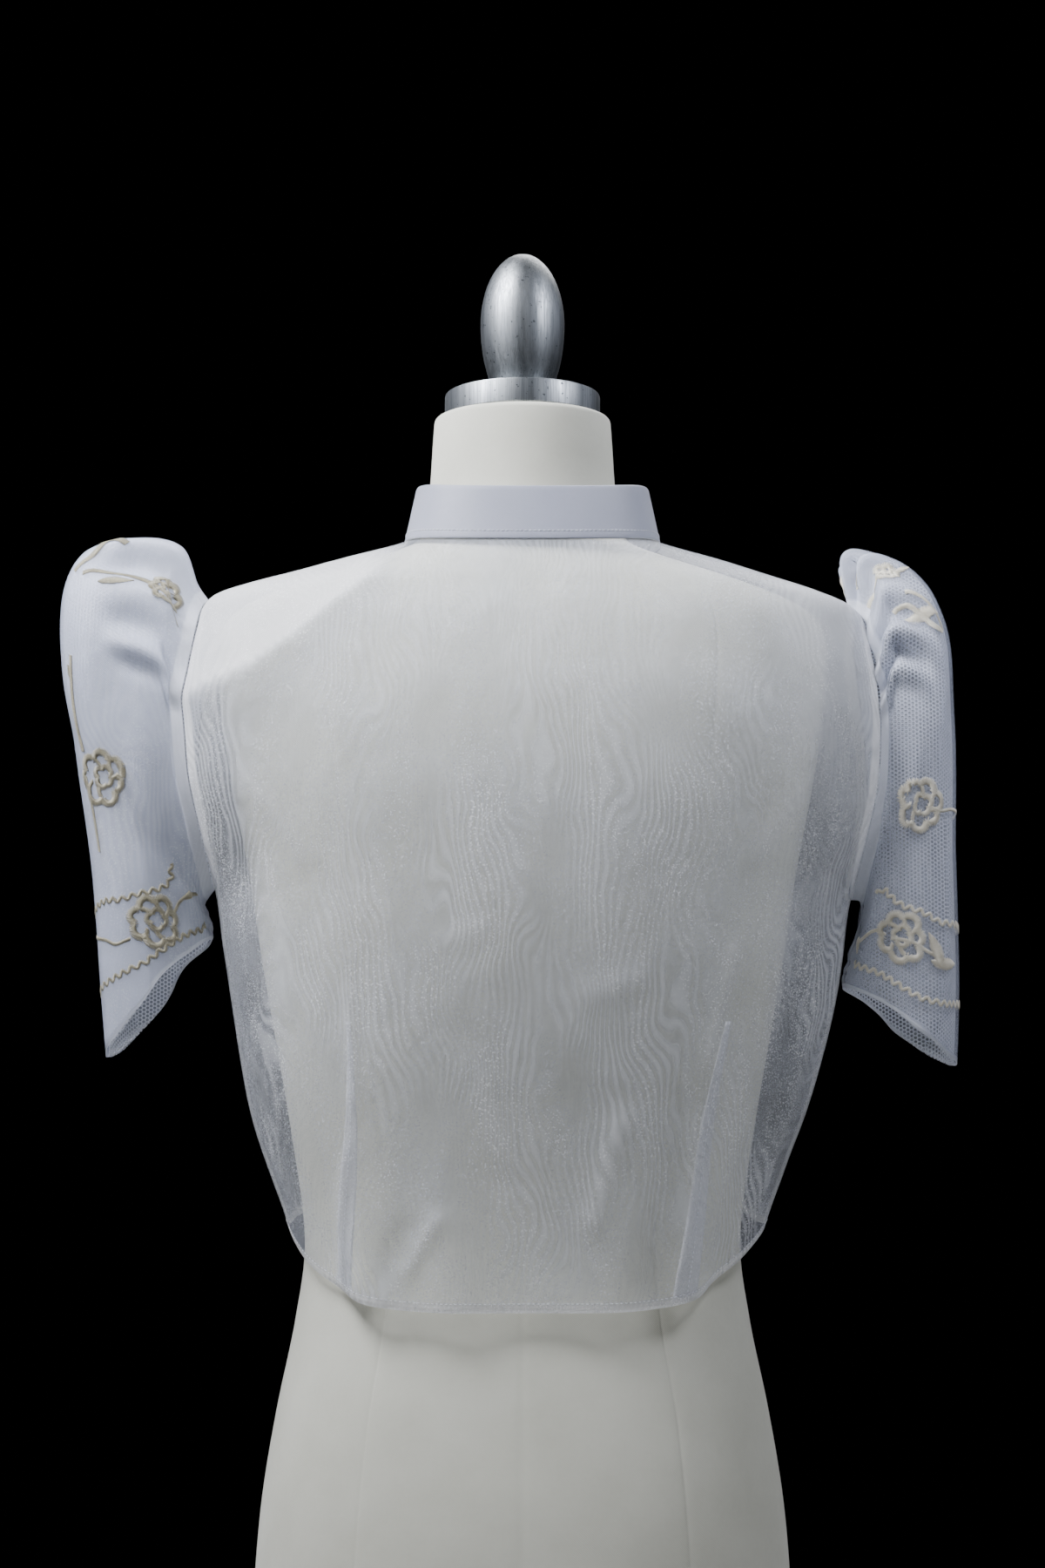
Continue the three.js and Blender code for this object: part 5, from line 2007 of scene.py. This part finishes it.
@dataclass
class Sleeve:
    """A butterfly sleeve: crisp organza over honeycomb net, embroidered."""

    name: str
    shape: SleeveShape
    cloth: Finish
    thread: Finish
    flat: tuple[float, float]
    area: float
    stems: tuple[Stem, ...]
    motifs: tuple[Motif, ...]
    rings: int = 130
    turns: int = 264
    net_inset: float = 2.0
    net_wall: float = 0.3
    seam: float = 9.0
    rolled_hem: float = 3.0
    under_seam_spread: float = 3.0
    under_seam_plies: float = 0.6
    crown_length: float = 75.0
    crown_turn: float = 72.0
    crown_plies: float = 0.4
    wave_length: float = 6.2
    wave_pitch: float = 0.5
    thread_width: float = 0.76
    thread_height: float = 0.55

    def shell(self, rings: int, turns: int, inset: float) -> tuple[Array, Array, Array]:
        """A grid of the sleeve's face.

        Args:
            rings: rings along it.
            turns: points round it.
            inset: how far inside the outer face it lies, in millimetres.

        Returns:
            The points, their normals and the distance of each from the armhole.
        """
        step = np.linspace(0, 1, rings)[:, None] ** 1.1
        turn = (np.arange(turns) * 2 * math.pi / turns)[None, :]
        outer = self.shape.point(turn, step)
        normals = self.shape.plain_normal(turn, step)
        run = np.linalg.norm(np.diff(outer, axis=0), axis=2)
        along = np.concatenate([np.zeros((1, turns)), np.cumsum(run, axis=0)])
        return outer - normals * inset, normals, along

    def organza(self) -> Piece:
        """Builds the organza layer, denser at the armhole, hem, under seam and crown.

        Returns:
            The object.
        """
        outer, normals, along = self.shell(self.rings, self.turns, 0.0)
        turn = np.degrees(np.arange(self.turns) * 2 * math.pi / self.turns)
        turn = np.minimum(turn, 360 - turn)[None, :]
        plies = smooth((self.seam - along) / 1.5)
        plies = np.maximum(plies, smooth((self.rolled_hem - (along[-1:] - along)) / 0.8))
        under = np.exp(-(((turn - 180) / self.under_seam_spread) ** 2))
        plies = np.maximum(plies, self.under_seam_plies * under)
        crown = smooth((self.crown_length - along) / 50) * smooth((self.crown_turn - turn) / 45)
        plies = np.clip(plies + self.crown_plies * crown, 0, 1)
        material = self.cloth.material
        return cloth_piece(
            f"sleeve_organza_{self.name}", outer, normals, CLOTH_WALL, True, material, plies
        )

    def net(self) -> Piece:
        """Builds the net that stiffens the sleeve from inside.

        Returns:
            The object.
        """
        inner, normals, along = self.shell(64, 160, self.net_inset)
        material = Finish.NET.material
        return cloth_piece(
            f"sleeve_netting_{self.name}", inner, normals, self.net_wall, True, material, along * 0
        )

    def embroidery(self) -> Piece:
        """Stitches the stems, flowers and leaves.

        Returns:
            The object.
        """
        chart = SleeveChart(self.shape)
        run = StitchRun()
        for stem in self.stems:
            path = smooth_line(stem.places)
            points = chart.point(path[:, 0], path[:, 1])
            normals = chart.normal(path[:, 0], path[:, 1])
            if stem.wave:
                spots, lifts, along, share = resample(points, normals, self.wave_pitch)
                length = self.wave_pitch * len(spots)
                swing = stem.wave * np.sin(2 * math.pi * share * round(length / self.wave_length))
                points, normals = spots + np.cross(lifts, along) * swing[:, None], lifts
            run.satin(points, normals, stem.width)
        for motif in self.motifs:
            for width, drawing in DRAWINGS[motif.kind](motif.size):
                lines = drawing @ turned(math.radians(motif.turn))
                arc, step = chart.motif(motif.centre, lines)
                run.satin(chart.point(arc, step), chart.normal(arc, step), width)
        return run.lay(
            f"embroidery_{self.name}", self.thread_width, self.thread_height, self.thread, 21
        )

    def build(self) -> None:
        organza, net, flowers = self.organza(), self.net(), self.embroidery()
        hand_over(flowers, "organza")
        hand_over(organza, "organza", f"sleeve_{self.name}")
        hand_over(net, "net", f"sleeve_net_{self.name}")


Drawing = list[tuple[Array | float, Array]]


def turned(turn: float) -> Array:
    """The matrix that turns a drawing by an angle in radians."""
    return np.array([[math.cos(turn), math.sin(turn)], [-math.sin(turn), math.cos(turn)]])


def rose(radius: float, lobes: int, sharp: float, start: float) -> Array:
    """A closed line of round lobes about a centre.

    Args:
        radius: how far the lobes reach, in millimetres.
        lobes: how many there are.
        sharp: how deep they are parted, as a share.
        start: the angle of the first.

    Returns:
        The line's points.
    """
    t = np.linspace(0, 2 * math.pi, 90) + start
    lobe = np.abs(np.sin(lobes * (t - start) / 2)) ** 0.55
    uneven = 1 + 0.09 * np.sin(2 * t + 1) + 0.05 * np.sin(3 * t + 2)
    reach = radius * (1 - sharp + sharp * lobe) * uneven
    return np.stack([0.9 * reach * np.cos(t), 1.1 * reach * np.sin(t)], 1)


def petals(radius: float) -> Drawing:
    """A flower in outline, its petals parted by short lines that run in to a smaller one.

    Args:
        radius: its radius, in millimetres.

    Returns:
        Its lines, each with its width.
    """
    heart = rose(radius * 0.42, 4, 0.38, 1.0) + np.array([[0.08, -0.05]]) * radius
    drawing: Drawing = [(5.8, rose(radius, 7, 0.30, 0.3)), (4.6, heart)]
    for number in (0, 1, 3, 4, 6):
        reach = np.linspace(0.42, 0.74, 8)
        lean = 2 * math.pi * number / 7 + 0.3 + 0.9 * (reach - 0.74)
        drawing.append((3.8, radius * reach[:, None] * np.stack([np.cos(lean), np.sin(lean)], 1)))
    return drawing


def leaf(length: float) -> Drawing:
    """A leaf filled with stitches across it, growing up from its stalk.

    Args:
        length: its length, in millimetres.

    Returns:
        Its one line, with its width at each point.
    """
    t = np.linspace(0, 1, 24)
    wide = 0.42 * length * np.sin(math.pi * t**0.8) + 0.8
    spine = np.stack([0.16 * length * np.sin(1.8 * t), (t - 0.2) * length], 1)
    return [(wide, spine)]


def leaf_pair(length: float) -> Drawing:
    """Two filled leaves that part from one stalk."""
    (width, points), = leaf(length)
    return [(width, points @ turned(lean)) for lean in (-1.15, 0.9)]


DRAWINGS: dict[Drawn, Callable[[float], Drawing]] = {
    Drawn.FLOWER: petals,
    Drawn.LEAF: leaf,
    Drawn.LEAF_PAIR: leaf_pair,
}


# ---- the dress form ----
Profile = tuple[tuple[float, float], ...]


@dataclass
class DressForm:
    """The cloth-covered body with seams, its neck cap, finial, pole and base."""

    top: float = -75.0
    bottom: float = 650.0
    neck_forward: float = 4.0
    seams: tuple[float, ...] = (0, 34, 90, 146, 180, -146, -90, -34)
    groove: float = 0.3
    top_round: float = 3.5
    cap_foot: float = 945.3
    finial_foot: float = 960.6
    finial_height: float = 88.0
    finial_belly: float = 44.0
    finial_taper: float = 56.0
    finial_radius: float = 25.5
    disc: Profile = (
        (0, 0), (46.2, 0), (47, 0.8), (47, 13.5), (46.6, 14.6), (45.5, 15), (24, 15), (0, 15),
    )
    pole: Profile = (
        (0, 40.3), (12, 40.3), (12, 204.7), (18, 210.7), (41.4, 210.7), (42, 211.4), (42, 219),
        (41.2, 219.7), (0, 219.7),
    )
    foot: Profile = (
        (0, 0), (163, 0), (165, 2), (165, 8), (163.6, 10.4), (161, 12), (82.5, 15), (50, 16.6),
        (32, 18), (26.2, 20.4), (24, 26), (24, 38), (23.3, 39.4), (22, 40), (0, 40),
    )

    def angles(self) -> Array:
        """Columns round the body, with more of them at each seam.

        Returns:
            The angles, in radians.
        """
        even = np.linspace(-180, 180, 144, endpoint=False) + 1.25
        near = [seam + away for seam in self.seams for away in (-0.9, -0.45, 0.0, 0.45, 0.9)]
        turned = (np.array(near) + 180) % 360 - 180
        return np.radians(np.unique(np.round(np.concatenate([even, turned]), 3)))

    def body(self) -> Piece:
        """Builds the cover.

        Returns:
            The object.
        """
        angle = self.angles()
        edge = self.top + self.top_round * np.array([0, 0.04, 0.12, 0.25, 0.45, 0.7])
        drop = np.concatenate([edge, np.linspace(self.top + self.top_round, self.bottom, 158)])
        points = BodyCloth.section(FORM_SECTIONS, angle[None, :], drop[:, None])
        degrees = np.degrees(angle)
        depth = np.zeros_like(degrees)
        for seam in self.seams:
            away = np.abs((degrees - seam + 180) % 360 - 180)
            depth = np.maximum(depth, np.exp(-((away / 0.5) ** 2)))
        down = drop[:, None]
        sink = self.groove * depth[None, :] * smooth((down - 30) / 30)
        rounded = 1 - (1 - (down - self.top) / self.top_round) ** 2
        rounded = self.top_round * (1 - np.sqrt(np.clip(rounded, 0, 1)))
        sink = sink + rounded * (down < self.top + self.top_round)
        points[..., 0] -= sink * np.sin(angle)[None, :]
        points[..., 1] += sink * np.cos(angle)[None, :]
        rows, columns = points.shape[:2]
        faces = grid_faces(rows, columns, True).tolist() + end_faces(rows, columns)
        piece = finish_mesh("dress_form", points.reshape(-1, 3), faces, Finish.COVER.material)
        face_outward(piece.data)
        piece.data.set_sharp_from_angle(angle=math.radians(50))
        return piece

    def build(self) -> None:
        """Builds the form and its stand."""
        hand_over(self.body(), "cover", "form_body")
        heights = np.linspace(0, self.finial_height, 60)
        above = self.finial_height - self.finial_belly
        away = np.abs(heights - self.finial_belly)
        away = away / np.where(heights > self.finial_belly, above, self.finial_taper)
        radii = self.finial_radius * np.sqrt(np.maximum(1 - away * away, 0))
        egg = [(0, self.finial_foot), *zip(radii.tolist(), (self.finial_foot + heights).tolist())]
        disc = [(r, z + self.cap_foot) for r, z in self.disc]
        parts = (
            ("finial", egg, self.neck_forward, Finish.METAL, "aluminium"),
            ("neck_cap", disc, self.neck_forward, Finish.METAL, "aluminium"),
            ("pole", self.pole, 0.0, Finish.PAINT, "painted"),
            ("base", self.foot, 0.0, Finish.PAINT, "painted"),
        )
        for node, profile, forward, finish, slot in parts:
            hand_over(turn_piece(f"{node}_turned", profile, forward, finish), slot, node)


# ---- the studio ----
@dataclass(frozen=True)
class Lamp:
    """A soft round lamp: its place and size in metres, its watts and its colour."""

    name: str
    at: tuple[float, float, float]
    size: float
    power: float
    colour: str


@dataclass
class Studio:
    """A pale floor, a dark room, soft lights and the camera."""

    floor_radius: float = 1.2
    room: str = "000000"
    camera_at: tuple[float, float, float] = (0.0, -1.700, 0.520)
    camera_aim: tuple[float, float, float] = (0.0, 0.0, 0.723)
    lens: float = 66.0
    lit_height: float = 0.75
    sensor: float = 36.0
    lamps: tuple[Lamp, ...] = (
        Lamp("top", (-0.6, -0.32, 1.56), 0.6, 29.0, "f6f8ff"),
        Lamp("key", (-1.3, -2.2, 1.9), 1.0, 2.0, "f4f7ff"),
        Lamp("fill", (1.5, -2.0, 1.6), 1.0, 1.8, "eef2ff"),
        Lamp("crown", (0.2, 0.6, 1.75), 0.8, 9.0, "ffffff"),
        Lamp("side_left", (-0.62, -0.35, 1.35), 0.35, 2.8, "eef2ff"),
        Lamp("side_right", (0.62, -0.35, 1.35), 0.35, 5.4, "eef2ff"),
        Lamp("rim_left", (-1.3, 0.5, 1.6), 1.0, 1.3, "e6ecff"),
        Lamp("rim_right", (1.3, 0.5, 1.6), 1.0, 1.3, "e6ecff"),
    )

    def build(self) -> None:
        """Builds all of it."""
        count = 96
        turn = np.arange(count) * 2 * math.pi / count
        radius = self.floor_radius / MM
        rim = np.stack([radius * np.cos(turn), radius * np.sin(turn), 0 * turn - 0.3], axis=1)
        floor = finish_mesh("floor", rim, [list(range(count))], Finish.FLOOR.material)
        world = bpy.data.worlds.new("studio_room")
        world.use_nodes = True
        background = world.node_tree.nodes["Background"]
        background.inputs["Color"].default_value = linear(self.room)
        background.inputs["Strength"].default_value = 1.0
        bpy.context.scene.world = world
        for lamp in self.lamps:
            self.light(lamp)
        self.camera()

    @staticmethod
    def aimed(
        name: str,
        data: bpy.types.Light | bpy.types.Camera,
        at: tuple[float, float, float],
        aim: tuple[float, float, float],
    ) -> Piece:
        """Puts a lamp or a camera in its place, looking at another.

        Args:
            name: its name.
            data: the lamp or camera.
            at: where it stands.
            aim: where it looks.

        Returns:
            The object.
        """
        piece = bpy.data.objects.new(name, data)
        piece.location = at
        piece.rotation_euler = (Vector(aim) - Vector(at)).to_track_quat("-Z", "Y").to_euler()
        bpy.context.scene.collection.objects.link(piece)
        return piece

    def light(self, lamp: Lamp) -> None:
        """Adds a soft lamp aimed at the bolero.

        Args:
            lamp: the lamp.
        """
        data = bpy.data.lights.new(lamp.name, "AREA")
        data.shape, data.size, data.energy = "DISK", lamp.size, lamp.power
        data.color = linear(lamp.colour)[:3]
        self.aimed(lamp.name, data, lamp.at, (0.0, 0.0, self.lit_height))

    def camera(self) -> None:
        """Adds the camera and looks through it."""
        data = bpy.data.cameras.new("camera")
        data.sensor_width, data.sensor_fit, data.lens = self.sensor, "AUTO", self.lens
        bpy.context.scene.camera = self.aimed("camera", data, self.camera_at, self.camera_aim)


LEFT_SHAPE = SleeveShape(-1, 0.0, LEFT_SECTIONS)
RIGHT_SHAPE = SleeveShape(
    1, 17.0, RIGHT_SECTIONS, pleat_height=4.0, pleat_width=9.0, pleat_length=0.24
)


def all_round(
    places: tuple[tuple[float, float], ...], turn_step: float
) -> tuple[tuple[float, float], ...]:
    """A line from the back of a sleeve over its fold and down its front.

    Args:
        places: the back's places, from the fold outward.
        turn_step: the step at which it crosses the fold.

    Returns:
        The whole line's places.
    """
    front = tuple((-arc, step) for arc, step in reversed(places))
    return (*front, (0.0, turn_step), *places)


def both_sides(parts: tuple[Stem | Motif, ...]) -> tuple[Stem | Motif, ...]:
    """The parts, and the same again on the front of the sleeve.

    Args:
        parts: stems or motifs of the back.

    Returns:
        All of them.
    """
    front: list[Stem | Motif] = []
    for part in parts:
        if isinstance(part, Stem):
            places = tuple((-arc, step) for arc, step in part.places)
            front.append(Stem(places, part.width, part.wave))
        else:
            front.append(Motif(part.kind, (-part.centre[0], part.centre[1]), part.size, -part.turn))
    return (*parts, *front)


WAVY = (2.9, 1.4)  # width and swing of the wavy lines near the hem
LEFT_STEMS = (
    Stem(
        all_round(((40, 0.850), (63, 0.829), (105, 0.742), (150, 0.630), (185, 0.520)), 0.87), *WAVY
    ),
    Stem(
        all_round(((35, 0.938), (56, 0.938), (74, 0.938), (89, 0.908), (150, 0.725)), 0.945), *WAVY
    ),
    Stem(all_round(((35, 0.892), (47, 0.900), (57, 0.896)), 0.885), 2.8),
    *both_sides(
        (
            Stem(((96, 0.81), (121, 0.738), (150, 0.665)), 3.0),
            Stem(((54, 0.500), (52, 0.560), (50, 0.610), (50, 0.650)), 3.8),
            Stem(((45, 0.690), (45, 0.729), (43, 0.790)), 3.8),
            Stem(((40, 0.371), (43, 0.333), (50, 0.287), (55, 0.242), (60, 0.170), (62, 0.07)), 4.8),
            Stem(((31, 0.392), (30, 0.342), (22, 0.296), (30, 0.250)), 5.4),
        )
    ),
)
LEFT_MOTIFS = both_sides(
    (
        Motif(Drawn.FLOWER, (74, 0.860), 14.5, 72.0),
        Motif(Drawn.FLOWER, (70, 0.650), 15.0, 40.0),
        Motif(Drawn.FLOWER, (54, 0.120), 11.5, 75.0),
        Motif(Drawn.LEAF, (54, 0.310), 21.0, -70.0),
        Motif(Drawn.LEAF, (158, 0.645), 13.0, -50.0),
        Motif(Drawn.LEAF, (50, 0.540), 9.0, 25.0),
    )
)
RIGHT_STEMS = (
    Stem(
        all_round(((24, 0.825), (47, 0.812), (63, 0.779), (106, 0.675), (203, 0.417)), 0.83), *WAVY
    ),
    Stem(
        all_round(
            ((22, 0.925), (46, 0.933), (61, 0.933), (73, 0.917), (90, 0.867), (130, 0.750)), 0.925
        ),
        *WAVY,
    ),
    Stem(all_round(((25, 0.688), (41, 0.671), (58, 0.645), (82, 0.590)), 0.695), 2.6),
    *both_sides(
        (
            Stem(((94, 0.760), (69, 0.817), (58, 0.846), (49, 0.862)), 3.0),
            Stem(((175, 0.590), (150, 0.630), (125, 0.679), (105, 0.73)), 2.8),
            Stem(((31, 0.030), (35, 0.050), (49, 0.108), (45, 0.150), (42, 0.192)), 5.4),
            Stem(((79, 0.179), (67, 0.279), (57, 0.333), (42, 0.400)), 4.6),
            Stem(((62, 0.255), (56, 0.290), (46, 0.330), (40, 0.370), (40, 0.400)), 4.0),
            Stem(((-26, 0.060), (-22, 0.100), (-12, 0.120)), 5.0),
        )
    ),
)
RIGHT_MOTIFS = both_sides(
    (
        Motif(Drawn.FLOWER, (103, 0.537), 14.0, 20.0),
        Motif(Drawn.FLOWER, (82, 0.783), 14.0, 60.0),
        Motif(Drawn.FLOWER, (44, 0.200), 7.5, 10.0),
        Motif(Drawn.LEAF, (72, 0.285), 25.0, -52.0),
        Motif(Drawn.LEAF_PAIR, (50, 0.866), 21.0, -20.0),
        Motif(Drawn.LEAF, (178, 0.580), 10.0, 170.0),
        Motif(Drawn.LEAF, (34, 0.262), 9.0, -60.0),
    )
)


def main() -> None:
    """Builds the object and its studio."""
    logging.basicConfig(level=logging.INFO, format="%(message)s")
    pieces = (
        DressForm(),
        Bodice(),
        StandCollar(),
        Sleeve(
            "left", LEFT_SHAPE, Finish.SLEEVE_ORGANZA, Finish.THREAD_LEFT_PAINTED_SHADE, (0.56, 0.41), 0.07,
            LEFT_STEMS, LEFT_MOTIFS,
        ),
        Sleeve(
            "right", RIGHT_SHAPE, Finish.LIGHT_SLEEVE_ORGANZA, Finish.THREAD_RIGHT, (0.53, 0.38), 0.061,
            RIGHT_STEMS, RIGHT_MOTIFS,
        ),
        Studio(),
    )
    for piece in pieces:
        piece.build()


if __name__ == "__main__":
    main()
